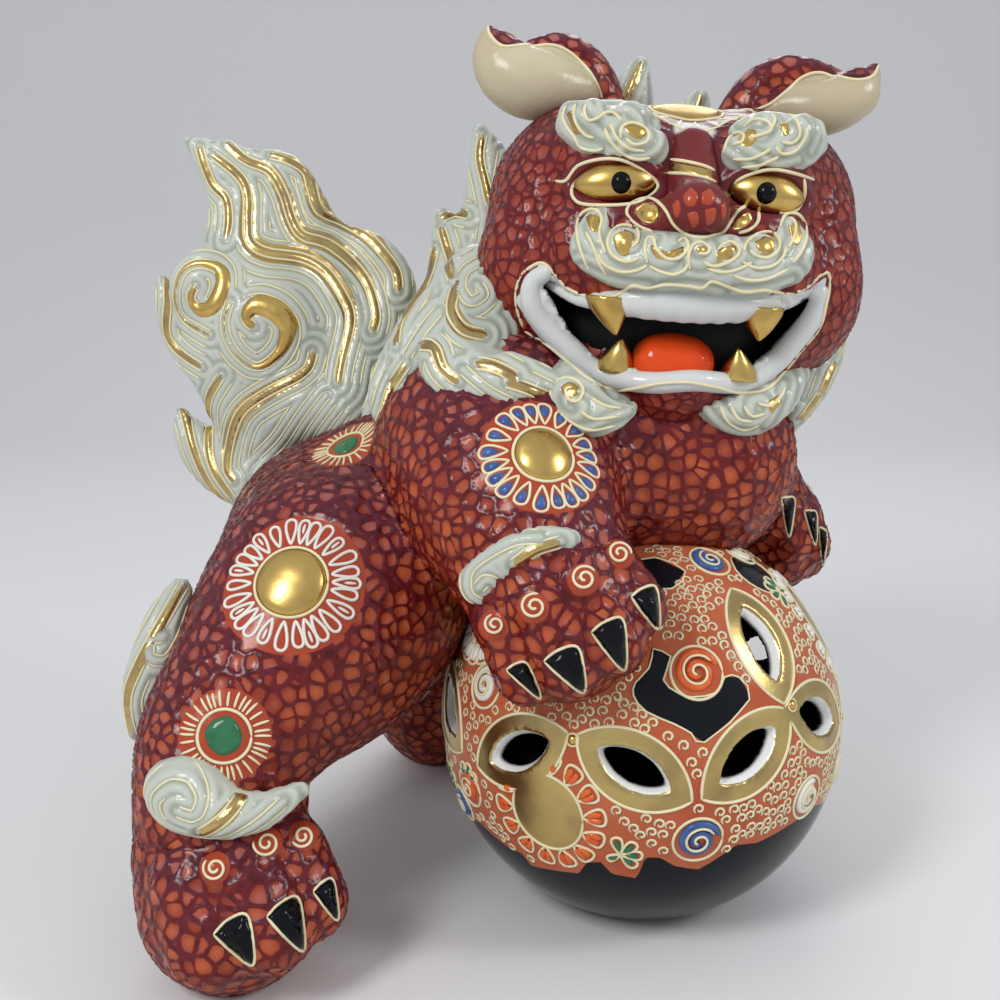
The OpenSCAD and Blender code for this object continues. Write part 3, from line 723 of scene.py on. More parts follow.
tail_locks = [
    [(-165, 70, 257, 2), (-156, 70, 249, 7), (-149, 70, 236, 10), (-148, 68, 219, 13), (-144, 62, 200, 16),
     (-132, 56, 178, 17), (-120, 50, 162, 14)],
    [(-141, 70, 251, 3), (-131, 70, 245, 8), (-125, 70, 231, 11), (-120, 68, 213, 14), (-112, 62, 194, 16),
     (-108, 54, 176, 14), (-108, 48, 160, 13)],
    [(-111, 68, 224, 3), (-99, 67, 215, 9), (-93, 65, 203, 11), (-96, 60, 189, 12), (-103, 52, 174, 11),
     (-106, 46, 158, 11)],
    [(-176, 62, 207, 2), (-173, 62, 196, 6), (-165, 62, 184, 10), (-153, 60, 174, 13), (-140, 54, 164, 14),
     (-128, 50, 160, 12)],
    [(-171, 58, 158, 2), (-166, 57, 148, 7), (-157, 56, 140, 11), (-146, 52, 136, 13), (-134, 46, 130, 13)],
    [(-151, 70, 254, 3), (-143, 70, 240, 8), (-136, 69, 222, 12), (-130, 64, 200, 13), (-124, 55, 176, 13)],
    [(-158, 62, 205, 9), (-152, 60, 192, 13), (-146, 56, 170, 16), (-140, 52, 150, 13)]]
tail = Clay((-182, 22, 112), (-72, 96, 266), 0.9)
for r in tail_locks:
    tail.roll(r, 5, flat=0.8)
tail.lump((-137, 52, 188), (23, 13, 23), 6)
tail.lump((-158, 57, 204), (14, 11, 14), 4)
big_curl = [(-147, 200), (-149, 192), (-146, 183), (-138, 177), (-130, 182), (-127, 190), (-131, 196), (-138, 198),
            (-141, 194), (-138, 191)]
small_curl = [(-155, 188), (-166, 193), (-168, 201), (-165, 210), (-159, 213), (-152, 211), (-150, 205), (-153, 198),
              (-159, 197), (-162, 201), (-160, 205)]
tail_strands = [
    ([(-161, 255), (-159, 248), (-156, 241), (-151, 236), (-150, 228), (-151, 222)], 1.5),
    ([(-156, 252), (-146, 244), (-143, 237), (-143, 228), (-142, 221), (-136, 217), (-123, 215), (-114, 210),
      (-107, 200), (-105, 192), (-108, 178), (-109, 171)], 2.6),
    ([(-151, 256), (-144, 250), (-135, 246), (-130, 238), (-127, 229), (-123, 223), (-114, 220), (-105, 213),
      (-99, 205), (-96, 195), (-97, 189)], 2.4),
    ([(-135, 252), (-128, 250), (-122, 246), (-120, 240), (-117, 232), (-109, 228), (-100, 223), (-94, 217),
      (-89, 210), (-88, 203)], 2.3),
    ([(-174, 210), (-173, 200), (-174, 187), (-168, 180), (-159, 176)], 1.6),
    ([(-118, 182), (-121, 175), (-134, 168), (-144, 161), (-149, 151), (-151, 140), (-148, 135)], 2.3),
    ([(-151, 174), (-158, 163), (-159, 149), (-156, 138), (-149, 128)], 1.6),
    ([(-171, 163), (-168, 156), (-164, 144), (-159, 133), (-150, 121)], 1.3),
    ([(-113, 167), (-120, 158), (-128, 147), (-137, 138)], 0),
    (big_curl, 0), (small_curl, 0)]
tail_bvh = hair_piece("tail_hair", tail, tail_strands, ("tail",), 3.2, 0.4, None, body.at, (-1, 1), 0.42, 8)[2]

# The two gold crescents of the tail: rolls of clay laid in the eyes of the curls, then gilded.
for name, line, wide in (("tail_curl_lower", big_curl, 4.6), ("tail_curl_upper", small_curl, 3.4)):
    L = smooth_line(line, 5)
    t = np.linspace(0, 1, len(L))
    R = 0.7 + wide * np.exp(-((t - 0.66) / 0.2) ** 2)
    pts = []
    for (x0, z0), r in zip(L, R):
        hit = seen_from(tail_bvh, x0, z0)
        pts.append((x0, (hit[1] if hit else 46) + r * 0.72, z0, r))
    c = Clay(np.min(pts, 0)[:3] - 8, np.max(pts, 0)[:3] + 8, 0.7)
    c.roll(pts, 0, 1)
    p, q = c.fire()
    place(name + "_crescent", mesh_of(name, p, [q]), gold_lustre, (name,), "gold_lustre")

# ---------------------------------------------------------------- Head
# A press-moulded skull with bulging brow bones, cheeks that hang beside the moustache and a
# mouth cut right through into the hollow. It carries the same scales as the body, but smaller.
HEAD_AT = np.array([4.5, 22.0, 214.0])
tilt = math.radians(4)


def from_head(p):
    """From the head's own frame, which leans 4 degrees, to the statue's."""
    x, z = p[:, 0], p[:, 2]
    return HEAD_AT + np.column_stack([x * math.cos(tilt) + z * math.sin(tilt), p[:, 1],
                                      -x * math.sin(tilt) + z * math.cos(tilt)])


def flip(route):
    return [(-r[0],) + tuple(r[1:]) for r in route]


def pane(points):
    """Signed distance in the X-Z plane to a closed outline, below 0 inside."""
    P = np.array(points, float)

    def d(x, z):
        x, z = np.broadcast_arrays(x, z)
        best = np.full(x.shape, 1e9)
        inside = np.zeros(x.shape, bool)
        for a, b in zip(P, np.roll(P, -1, 0)):
            e = b - a
            h = np.clip(((x - a[0]) * e[0] + (z - a[1]) * e[1]) / (e @ e), 0, 1)
            best = np.minimum(best, np.hypot(x - a[0] - h * e[0], z - a[1] - h * e[1]))
            c = (a[1] > z) != (b[1] > z)
            with np.errstate(divide="ignore", invalid="ignore"):
                inside ^= c & (x < a[0] + (z - a[1]) * e[0] / (e[1] if e[1] else 1e-9))
        return np.where(inside, -best, best)
    return d


skull = Clay((-74, -74, -62), (74, 66, 64), 1.1)
joins = [((24, -6, 15, 32), (-24, -6, 15, 32)), ((24, -6, 15, 32), (31, -12, -6, 28)),
         ((31, -12, -6, 28), (18, -20, -25, 20)), ((18, -20, -25, 20), (-18, -20, -25, 20)),
         ((31, -12, -6, 28), (0, -29, -30, 19)), ((15, -34, 2, 19), (-15, -34, 2, 19)),
         ((20, -28, 25, 17), (-20, -28, 25, 17)), ((24, -6, 15, 32), (0, 16, 6, 40)),
         ((31, -12, -6, 28), (0, 16, 6, 39)), ((15, -34, 2, 19), (31, -12, -6, 28)),
         ((15, -34, 2, 19), (20, -28, 25, 17)), ((20, -28, 25, 17), (24, -6, 15, 32)),
         ((15, -34, 2, 19), (0, -29, -30, 18)), ((18, -20, -25, 20), (0, -29, -30, 19))]
for a, b in joins:
    skull.roll([a, b], 7, 1)
    skull.roll(flip([a, b]), 7, 1)
for s in (1, -1):
    for r, k in (([(38, -24, 30, 9), (24, -35, 31, 9), (10, -36, 31, 8)], 4),
                 ([(44, -22, 16, 10), (46, -22, 2, 11), (44, -24, -10, 9)], 5),
                 ([(33, -40, 9, 7), (33, -42, 2, 7.5), (31, -44, -4, 5.5), (29, -45, -8, 3)], 3)):
        skull.roll(r if s > 0 else flip(r), k)
    skull.lump((s * 22, -44, 22.5), (14, 9, 8), 3, -1)
    skull.roll([(s * 9, -47, 21, 1.6), (s * 14, -49, 16.5, 1.9), (s * 22, -50.5, 14.5, 2.1), (s * 30, -47, 16, 2),
                (s * 36, -42, 19.5, 1.6)], 2.5)
    skull.roll([(s * 9, -46, 24, 1.6), (s * 15, -48, 29, 2), (s * 23, -48, 30.5, 2.2), (s * 31, -44, 28, 2),
                (s * 37, -40, 22, 1.6)], 2.5)
mouth_edge = [(-44, -5), (-38, -14), (-31, -24), (-22, -31), (-8, -32), (8, -32), (22, -31), (31, -24), (38, -14),
              (44, -5), (30, -12), (12, -14), (-12, -14), (-30, -12)]
whole_p, whole_q = skull.fire()
whole = touching(whole_p, whole_q)
uncut = Clay((-74, -74, -62), (74, 66, 64), 1.1)
uncut.d = skull.d.copy()
w, x, y, z = skull.window((-74, -74, -62), (74, 66, 64))
hole = np.maximum(pane(mouth_edge)(x[:, :, 0], z[:, 0, :])[:, None, :], np.abs(y + 40) - 42)
skull.d = np.maximum(skull.d, -(soft_min(hole, hole * 0 + 25, 1) - 0.5)).astype(np.float32)
for c, r in (((0, -14, -16), (30, 26, 20)), ((0, -4, 0), (28, 22, 24))):
    skull.lump(c, r, 2, -1)
skull.lump((0.5, -52, 57), (13, 26, 20), 6, -1)
head_p, head_q = skull.fire()


def head_bare(p):
    """Above 0 where the face is painted plain: round the eyes, the brow and the crown's ring."""
    out = 21.5 - np.hypot(p[:, 0] - 0.5, p[:, 1] + 14) + np.where(p[:, 2] > 30, 0, -60)
    for s in (1, -1):
        out = np.maximum(out, 14 - np.hypot((p[:, 0] - s * 22.5) * 0.88,
                                            (p[:, 2] - 22.5) * 1.55) - np.where(p[:, 1] < -25, 0, 60))
    out = np.maximum(out, 8 - np.hypot(p[:, 0] * 0.7, (p[:, 2] - 29)) - np.where(p[:, 1] < -30, 0, 60))
    return np.clip(out, -9, 9)


HEAD_SCALE = 4.4
me = mesh_of("head_skin", from_head(head_p), [head_q])
mark(me, "bare", head_bare(head_p))
me = bake_nodes(me, scale_relief("scales_of_the_head", HEAD_SCALE, 0.65))
depth = -uncut.at(head_p)
outside = np.where((head_p[:, 1] < -14) & (depth < 2.5), 1, -1)
lip_band = [(-43, -2), (-49.6, -14), (-44, -22), (-36, -27), (-22, -37), (-8, -38.6), (4, -35.5), (20, -37),
            (28, -37), (37, -27), (44, -13),
            (44.5, 0), (40, -3.7), (34, -5.5), (20, -7), (-20, -8), (-30, -10.6), (-34.5, -8.5), (-39.5, -5)]
lip = np.minimum(-pane(lip_band)(head_p[:, 0], head_p[:, 2]), outside * 9)
mark(me, "lip", np.clip(np.maximum(lip, depth - 1.3), -5, 5))
mark(me, "mouth", np.clip(depth - 3.2, -5, 5))
head_glaze = scaled_glaze("head_glaze", HEAD_SCALE, (0.13, 0.016, 0.022), (0.29, 0.052, 0.032))
t = head_glaze.node_tree
paint_over(head_glaze, (0.60, 0.61, 0.60), inside_mark(t, "lip"))
paint_over(head_glaze, (0.004, 0.005, 0.005), remap(t, mark_of(t, "mouth"), -0.6, 1.2))
place("head_skin", me, head_glaze, ("head",), "scaled_skin")
head_world = touching(points_of(me), head_q)


def pad(into, surface, outline, height, rings=5, power=0.5, sink=0.8):
    """A domed patch over an outline: `surface` gives a point and its direction for each (u, v)."""
    o = np.array(outline, float)
    c = o.mean(0)
    n = len(o)
    top, low = [], []
    for k in range(rings + 1):
        f = k / rings
        for uv in (o * f + c * (1 - f) if k else c[None]):
            hit = surface(*uv)
            if hit is None:
                return
            h = height * (1 - f ** 2) ** power if k < rings else 0.0
            top.append(hit[0] + hit[1] * h)
            if k == rings:
                low.append(hit[0] - hit[1] * sink)
    low.append(np.mean(low, 0))
    base = into.n
    pts = np.array(top + low)
    q, t = [], []
    for j in range(n):
        j2 = (j + 1) % n
        t.append((0, 1 + j, 1 + j2))
        for k in range(rings - 1):
            a = 1 + k * n
            q.append((a + j, a + n + j, a + n + j2, a + j2))
        a, b = 1 + (rings - 1) * n, 1 + rings * n
        q.append((a + j, b + j, b + j2, a + j2))
        t.append((b + j, b + n, b + j2))
    q, t = np.array(q), np.array(t)
    way = surface(*c)[1]
    if np.cross(pts[t[0, 1]] - pts[0], pts[t[0, 2]] - pts[0]) @ way < 0:
        q, t = q[:, ::-1], t[:, ::-1]
    into.p_list.append(pts)
    into.q_list.append(q + base)
    into.t_list.append(t + base)
    into.n += len(pts)


class Patches:
    """Pads gathered into one mesh."""

    def __init__(self):
        self.p_list, self.q_list, self.t_list, self.n = [], [], [], 0

    def mesh(self, name):
        return mesh_of(name, np.vstack(self.p_list), [np.vstack(self.q_list), np.vstack(self.t_list)])


def facing(bvh, mid, way, up=(0, 0, 1)):
    """Coordinates in mm on a skin round a point, looked at along a direction."""
    way = np.array(way, float) / np.linalg.norm(way)
    e1 = np.cross(np.array(up, float), way)
    e1 /= np.linalg.norm(e1)
    e2 = np.cross(way, e1)
    mid = np.array(mid, float)

    def at(u, v):
        hit = bvh.ray_cast(Vector(mid + e1 * u + e2 * v + way * 25), Vector(-way))
        if hit[0] is None:
            return None
        n = np.array(hit[1])
        n = n if n @ way > 0 else -n
        n = n * 0.35 + way * 0.65
        return np.array(hit[0]), n / np.linalg.norm(n)
    return at


def sight(bvh):
    """The same for a place seen in the camera's own frame of 1000 by 1000."""
    eye_mm = np.array([1.6, -428.0, 223.4]) + CENTRE
    cs, sn = math.cos(math.radians(12)), math.sin(math.radians(12))

    def at(px, py):
        a, b = (px - 500) / 1250, (500 - py) / 1250
        d = np.array([a, cs + b * sn, b * cs - sn])
        hit = bvh.ray_cast(Vector(eye_mm), Vector(d / np.linalg.norm(d)))
        if hit[0] is None:
            return None
        n = np.array(hit[1])
        n = n if n @ d < 0 else -n
        n = n * 0.4 - d / np.linalg.norm(d) * 0.6
        return np.array(hit[0]), n / np.linalg.norm(n)
    return at


def trace(slip, surface, line, r=0.45, n=5, close=False):
    """A line of slip trailed over a skin."""
    L = smooth_line(list(line) + [line[0]] if close else line, n)
    pts = [h[0] + h[1] * 0.1 for h in (surface(u, v) for u, v in L) if h is not None]
    slip.trail(pts, r)


def turn2(points, angle, grow=1.0, at=(0, 0)):
    c, s = math.cos(angle), math.sin(angle)
    return [(at[0] + grow * (x * c - y * s), at[1] + grow * (x * s + y * c)) for x, y in points]


def ring_of(r, n):
    return [(r * math.cos(a), r * math.sin(a)) for a in np.arange(n) / n * 2 * math.pi]


def swirl(r, turns, n, start):
    t = np.linspace(0, 1, n)
    return [(r * (1 - 0.86 * k) * math.cos(start + turns * 2 * math.pi * k),
             r * (1 - 0.86 * k) * math.sin(start + turns * 2 * math.pi * k)) for k in t]


# Lips: a white rolled rim round the open mouth, with a row of small teeth moulded under the
# moustache.
white_glaze = glaze("white_glaze", (0.62, 0.63, 0.62), (0.54, 0.57, 0.59), 0.12, 0.4, 45)


def on_face(path, sink):
    """A roll along the uncut face: each point is X, Z and the radius."""
    out = []
    for x0, z0, r0 in path:
        hit = seen_from(whole, x0, z0)
        out.append((x0, (hit[1] if hit else -20) + sink, z0, r0))
    return out


rim = Clay((-60, -70, -50), (60, -2, 14), 0.9)
rim.roll(on_face([(-40.5, -4.5, 2.6), (-44.5, -8, 3.2), (-44.5, -14, 3.8), (-40, -21, 4.0), (-31, -28.5, 4.0),
                  (-22, -34.3, 3.4), (-8, -35.5, 3.4),
                  (6, -33.8, 3.4), (22, -34.3, 3.4), (31, -29, 3.6), (38, -20, 3.6), (42.5, -12, 3.4),
                  (43.5, -5, 2.6), (41, -5, 2.2)], 0.8), 1.5, 5)
rim.roll([(-43, -30, -5.5, 2.2), (-36, -38.5, -9.5, 2.3), (-30, -45, -11.8, 2.5), (-22, -50.5, -11.5, 3.5),
          (-12, -54, -10.8, 5), (0, -55.5, -10.5, 5.4),
          (12, -54, -10.3, 5), (22, -50.5, -9.6, 4.2), (31, -44, -8.3, 3.2), (39, -34, -6.5, 2.4),
          (43, -29, -4.5, 2)], 1.5, 6)
for k in range(-3, 4):
    rim.lump((k * 5.4, -56.2 + 0.09 * k * k * 5, -13.0 + 0.06 * k * k), (3.2, 3.0, 3.2), 1.8)
rim_p, rim_q = rim.fire()
place("lips_rim", mesh_of("lips_rim", from_head(rim_p), [rim_q]), white_glaze, ("lips",), "white_glaze")

# Eyes: gilded almonds set into the sockets, each with a black pupil and a slip outline.
black_glaze = glaze("black_glaze", (0.003, 0.003, 0.004), (0.006, 0.007, 0.009), 0.07, 0.5, 50, 0.12)
core(black_glaze)[1]["Specular IOR Level"].default_value = 0.14


def dome(mid, radii, rings=14, around=40):
    """A closed ellipsoid."""
    a, r = np.linspace(0, math.pi, rings + 1)[1:-1], np.arange(around) / around * 2 * math.pi
    p = np.array([(math.sin(i) * math.cos(j), math.sin(i) * math.sin(j), math.cos(i)) for i in a for j in r])
    p = np.vstack([p, [(0, 0, 1)], [(0, 0, -1)]]) * radii + mid
    q, t = [], []
    for i in range(rings - 2):
        for j in range(around):
            k = (j + 1) % around
            q.append((i * around + j, (i + 1) * around + j, (i + 1) * around + k, i * around + k))
    for j in range(around):
        k = (j + 1) % around
        t.append((len(p) - 2, j, k))
        t.append((len(p) - 1, (rings - 2) * around + k, (rings - 2) * around + j))
    return p, np.array(q), np.array(t)


face_slip = Slip()
for s, node in ((-1, "eye_right"), (1, "eye_left")):
    p, q, t = dome((0, 0, 0), (12.8 if s < 0 else 12.0, 7.2, 7.0), 24, 60)
    p[:, 2] *= 1 - 0.35 * (np.abs(p[:, 0]) / 12.4) ** 3
    p[:, 2] -= p[:, 0] * s / 12.4
    p = p + (s * 22.2, -44.6, 22.8)
    place(node + "_ball", mesh_of(node + "_ball", from_head(p), [q, t]), gold_lustre, (node,), "gold_lustre")
    p, q, t = dome((s * 22 + (0.5 if s < 0 else -0.5), -50.3, 22.8), (3.3, 3.0, 3.3), 12, 30)
    place(node + "_pupil", mesh_of(node + "_pupil", from_head(p), [q, t]), black_glaze, (), "black_glaze")

# Nose: a scaled knob over two gilded nostrils, and a bridge with a gilded bar across it.
nose = Clay((-24, -74, 2), (24, -30, 44), 0.8)
nose.roll([(0, -40, 34, 7), (0, -46, 27, 7.5), (0, -53, 20, 7.5)], 1, 6)
nose.lump((0.4, -59.3, 17), (9.4, 8.4, 7.8), 3)
for s in (1, -1):
    nose.roll([(0, -53, 14, 7), (s * 8, -54, 13, 5.8), (s * 13.5, -52, 13.8, 5.2)], 3)
    nose.lump((s * 13.3, -57.6, 14.6), (3.6, 3.4, 2.9), 1.5, -1)
nose_p, nose_q = p, q = nose.fire()
nb = mesh_of("nose_knob", from_head(p), [q])
mark(nb, "bare", np.full(len(p), 9.0))
nb = bake_nodes(nb, scale_relief("scales_of_the_nose", 5.6, 0.5))
place("nose_knob", nb, scaled_glaze("nose_glaze", 5.6, (0.15, 0.018, 0.02)), ("nose",), "scaled_skin")

face_parts = [(head_p, head_q), (rim_p, rim_q), (nose_p, nose_q)]
# Moustache, brows and beard: celadon curls with gilded hollows, pressed onto the face.
must = Clay((-44, -74, -16), (44, -28, 26), 0.8)
must.roll([(-27.5, -49, 4, 7), (-20, -53, 1, 8.6), (-8, -57, 1, 9), (8, -57, 1, 9), (20, -53, 1, 9),
           (31, -47, 6, 7.5)], 1, 6)
for s in (1, -1):
    o = 2.5 if s < 0 else 0
    must.roll([(s * 30 + o, -48, 3, 6.8), (s * 29.5 + o, -48, 9.5, 5.2), (s * 28.5 + o, -48.5, 13, 4.0)], 3)
for x0, z0 in ((-19.5, 5), (-9, 4), (1, 4), (10.5, 5), (20, 6)):
    must.lump((x0, -62 + 0.012 * x0 * x0, z0), (5.2, 4.6, 5.2), 1.5)
arcs = [[(-16, 9), (-20, 10), (-23.5, 7), (-23, 3), (-19, 0.5), (-15, 1.5)],
        [(-12, 8), (-13.5, 4), (-11, 1), (-7, 1), (-4.5, 4)], [(-3, 6.5), (-1.5, 2), (2.5, 1), (5.5, 4), (4.5, 7)],
        [(12, 9), (14.5, 5), (12, 2), (8.5, 2.5)], [(17, 11), (21, 11), (24, 7.5), (23, 3.5), (19, 2.5)],
        [(-28, 14), (-29.5, 10), (-27.5, 6)], [(29, 15), (30, 11), (28, 7)],
        [(-31, -3), (-22, -6), (-12, -6.5)], [(-8, -6.5), (0, -5.5), (9, -6.5)], [(13, -6), (22, -5), (31, -2)]]
must_p, must_q = hair_piece("moustache_hair", must, [(a, 0) for a in arcs], ("moustache",), 3.6, 0.3, from_head, None,
                            (-1,), 0, 4, 0.2)[:2]
face_parts.append((must_p, must_q))
for s, node, arcs in (
        (-1, "brow_right", [[(-37, 44), (-34, 40), (-29, 36.5), (-25, 35)],
                            [(-26, 44), (-21, 43.5), (-17, 40), (-18.5, 36.5), (-22, 37.5)],
                            [(-12, 41), (-10.5, 36), (-13, 31.5), (-19, 30)],
                            [(-40, 42), (-39, 37), (-34, 33), (-29, 32)]]),
        (1, "brow_left", [[(13, 43), (17, 46), (21, 43), (18.5, 39), (14, 40)],
                          [(26, 46), (30.5, 43), (31, 38), (27, 35)],
                          [(11, 37), (17, 33.5), (24, 31), (30, 33)], [(35, 46), (36, 41), (34, 36)]])):
    brow = Clay((min(s * 46, s * 2), -60, 20), (max(s * 46, s * 2), -22, 56), 0.8)
    for r in ([(37, -36, 39, 4.5), (30, -42, 36.5, 6.8), (20, -45, 35, 7.2), (13, -46, 33, 5), (11, -46, 36, 2.5)],
              [(37, -34, 43, 3.6), (28, -38, 41.5, 5.6), (19, -41, 41, 5.6), (13, -41, 40, 3)]):
        brow.roll(r if s > 0 else flip(r), 2.5)
    for x0, z0, r0 in ((20, 41, 5.5), (31, 41, 5.5), (15, 34, 5)):
        brow.lump((s * x0, -46, z0), (r0, 5, r0), 1.5)
    face_parts.append(hair_piece(node + "_hair", brow, [(a, 0) for a in arcs], (node,), 3.6, 0.3, from_head, None,
                                 (-1,), 0, 4, 0.2)[:2])
for s, node, arcs in (
        (-1, "beard_right", [[(-17, -40.5), (-22, -38), (-28, -35), (-34, -35.5), (-37, -40), (-35, -45), (-30, -46),
                              (-28, -42), (-31, -40.5)],
                             [(-14, -43), (-20, -45), (-27, -49), (-34, -47)]]),
        (1, "beard_left", [[(14, -40), (19, -45), (26, -46.5), (31, -42.5), (29, -38.5), (25, -39.5), (25, -42.5)],
                           [(36, -34), (34, -40), (31, -47)]])):
    brd = Clay((min(s * 50, s * 2), -78 if s < 0 else -56, -62), (max(s * 50, s * 2), -14, -24), 0.8)
    for r in ([(42, -26, -32, 5), (34, -34, -39, 7.5), (26, -39, -43, 7.5), (17, -42, -44, 5), (11, -43, -43, 2.5)],
              [(38, -28, -40, 4), (28, -36, -46, 5), (18, -40, -48, 3)]):
        brd.roll(r if s > 0 else flip(r), 3)
    if s < 0:
        brd.roll([(-33, -36, -38, 7), (-31, -52, -41, 8.5), (-26, -58, -44.5, 7.5), (-20, -60, -45, 5),
                  (-13.5, -58, -43.5, 2)], 3)
    face_parts.append(hair_piece(node + "_hair", brd, [(a, 0) for a in arcs], (node,), 3.8, 0.35, from_head, None,
                                 (-1,), 0, 4, 0.3)[:2])

# What is trailed and gilded on the face, marked out on a close view of it in its own frame of
# 1568 by 1568 and laid on whatever part of the face lies there.
all_p, all_q, base = [], [], 0
for fp, fq in face_parts:
    all_p.append(from_head(fp))
    all_q.append(fq + base)
    base += len(fp)
face = sight(touching(np.vstack(all_p), np.vstack(all_q)))


def near_face(u, v):
    return face(460 + u / 3.733, 20 + v / 3.733)


brow_lines = [[(395, 320), (385, 360), (400, 400), (430, 440), (450, 475), (500, 487), (535, 480)],
              [(430, 315), (425, 350), (440, 395), (470, 430), (500, 440)],
              [(470, 315), (465, 345), (480, 375), (515, 365), (545, 345), (580, 350), (600, 375)],
              [(600, 440), (605, 400), (640, 383), (680, 395), (705, 425), (695, 455), (650, 465), (618, 440)],
              [(540, 400), (560, 450), (610, 500), (660, 520), (710, 515)],
              [(560, 385), (585, 440), (630, 480), (690, 490)],
              [(985, 495), (1000, 450), (1030, 420), (1060, 430), (1050, 455), (1020, 465)],
              [(1060, 400), (1100, 370), (1150, 380), (1160, 410), (1120, 430), (1080, 440)],
              [(1160, 350), (1175, 370), (1165, 400)], [(1050, 550), (1110, 545), (1160, 525), (1190, 510)],
              [(1020, 520), (1080, 520), (1130, 500), (1160, 480)],
              [(1180, 470), (1200, 500), (1250, 490), (1290, 440), (1295, 400)],
              [(1220, 345), (1260, 380), (1270, 430), (1240, 460), (1200, 455)]]
eye_lines = [[(355, 600), (395, 600), (440, 545), (520, 520), (600, 522), (680, 558), (737, 608), (725, 645),
              (660, 682), (560, 692),
              (460, 687), (425, 665), (418, 630), (440, 590)],
             [(1000, 650), (1035, 600), (1100, 570), (1170, 558), (1250, 573), (1335, 602)],
             [(1284, 590), (1287, 650), (1262, 705), (1215, 724), (1150, 714), (1100, 692), (1050, 668), (1005, 655)]]
nose_lines = [[(720, 790), (670, 770), (630, 735), (625, 705), (650, 678), (700, 665), (740, 680), (772, 715),
               (800, 765), (850, 803),
               (900, 813), (950, 803), (985, 788), (1010, 750), (1040, 710), (1080, 695), (1112, 715), (1112, 752),
               (1080, 783), (1040, 795)],
              [(785, 520), (850, 530), (910, 545), (950, 562)], [(765, 572), (830, 573), (900, 586), (955, 604)]]
lip_lines = [[(240, 1155), (213, 1075), (212, 1005), (238, 945), (300, 906), (345, 938), (395, 995), (455, 1025),
              (510, 1036), (580, 1030),
              (640, 993), (700, 1000), (770, 988), (850, 993), (905, 1000), (940, 976), (1000, 995), (1060, 1015),
              (1140, 1008),
              (1220, 1020), (1290, 1000), (1340, 957), (1372, 945), (1378, 990), (1366, 1060), (1340, 1150),
              (1270, 1238),
              (1212, 1310), (1145, 1378), (1050, 1392), (960, 1372), (900, 1360), (840, 1352), (740, 1358),
              (640, 1378),
              (560, 1378), (480, 1340), (400, 1275), (325, 1212), (250, 1165)]]
must_lines = [[(545, 870), (520, 800), (530, 745), (512, 712), (478, 708), (445, 735), (437, 790), (452, 860),
               (480, 930)],
              [(470, 790), (500, 850), (520, 905), (545, 950)],
              [(640, 850), (665, 820), (660, 780), (610, 765), (570, 785), (552, 830), (570, 878), (620, 902),
               (668, 890)],
              [(515, 870), (540, 912), (600, 940), (660, 935), (700, 915)],
              [(700, 905), (690, 860), (700, 815), (722, 815), (732, 850), (770, 890), (820, 887), (852, 850),
               (840, 815), (812, 828)],
              [(705, 917), (750, 940), (800, 950), (840, 930), (850, 905)],
              [(858, 930), (853, 880), (870, 840), (900, 830), (932, 850), (920, 872), (890, 870)],
              [(910, 905), (950, 920), (1010, 900), (1042, 870), (1035, 840), (1000, 828), (960, 858)],
              [(920, 927), (980, 942), (1040, 930), (1090, 905)],
              [(1060, 860), (1070, 830), (1110, 800), (1160, 790), (1192, 820), (1186, 860), (1150, 887), (1110, 882),
               (1080, 860)],
              [(1050, 900), (1100, 925), (1160, 920), (1200, 890), (1218, 850)],
              [(1020, 955), (1080, 972), (1150, 965), (1225, 930)],
              [(1195, 770), (1215, 727), (1260, 725), (1288, 762), (1292, 815), (1270, 870), (1240, 905)],
              [(1225, 850), (1250, 800), (1250, 755), (1230, 738)]]
beard_lines = [[(580, 1515), (480, 1530), (400, 1490), (350, 1440), (340, 1380), (375, 1340), (430, 1342),
                (460, 1380), (440, 1422), (405, 1415), (395, 1380), (420, 1370)],
               [(590, 1480), (500, 1490), (450, 1460)], [(490, 1410), (540, 1440), (600, 1450)],
               [(970, 1440), (1000, 1500), (1060, 1530), (1120, 1510)],
               [(1010, 1440), (1040, 1490), (1090, 1500)], [(1060, 1440), (1090, 1480), (1140, 1470)],
               [(1110, 1430), (1160, 1440), (1200, 1400), (1212, 1370)]]
for line in brow_lines + eye_lines + nose_lines + must_lines + beard_lines:
    trace(face_slip, near_face, line, 0.56, 4)
for line in lip_lines:
    trace(face_slip, near_face, line, 0.6, 5, close=True)
face_gold, face_cells = Patches(), Patches()
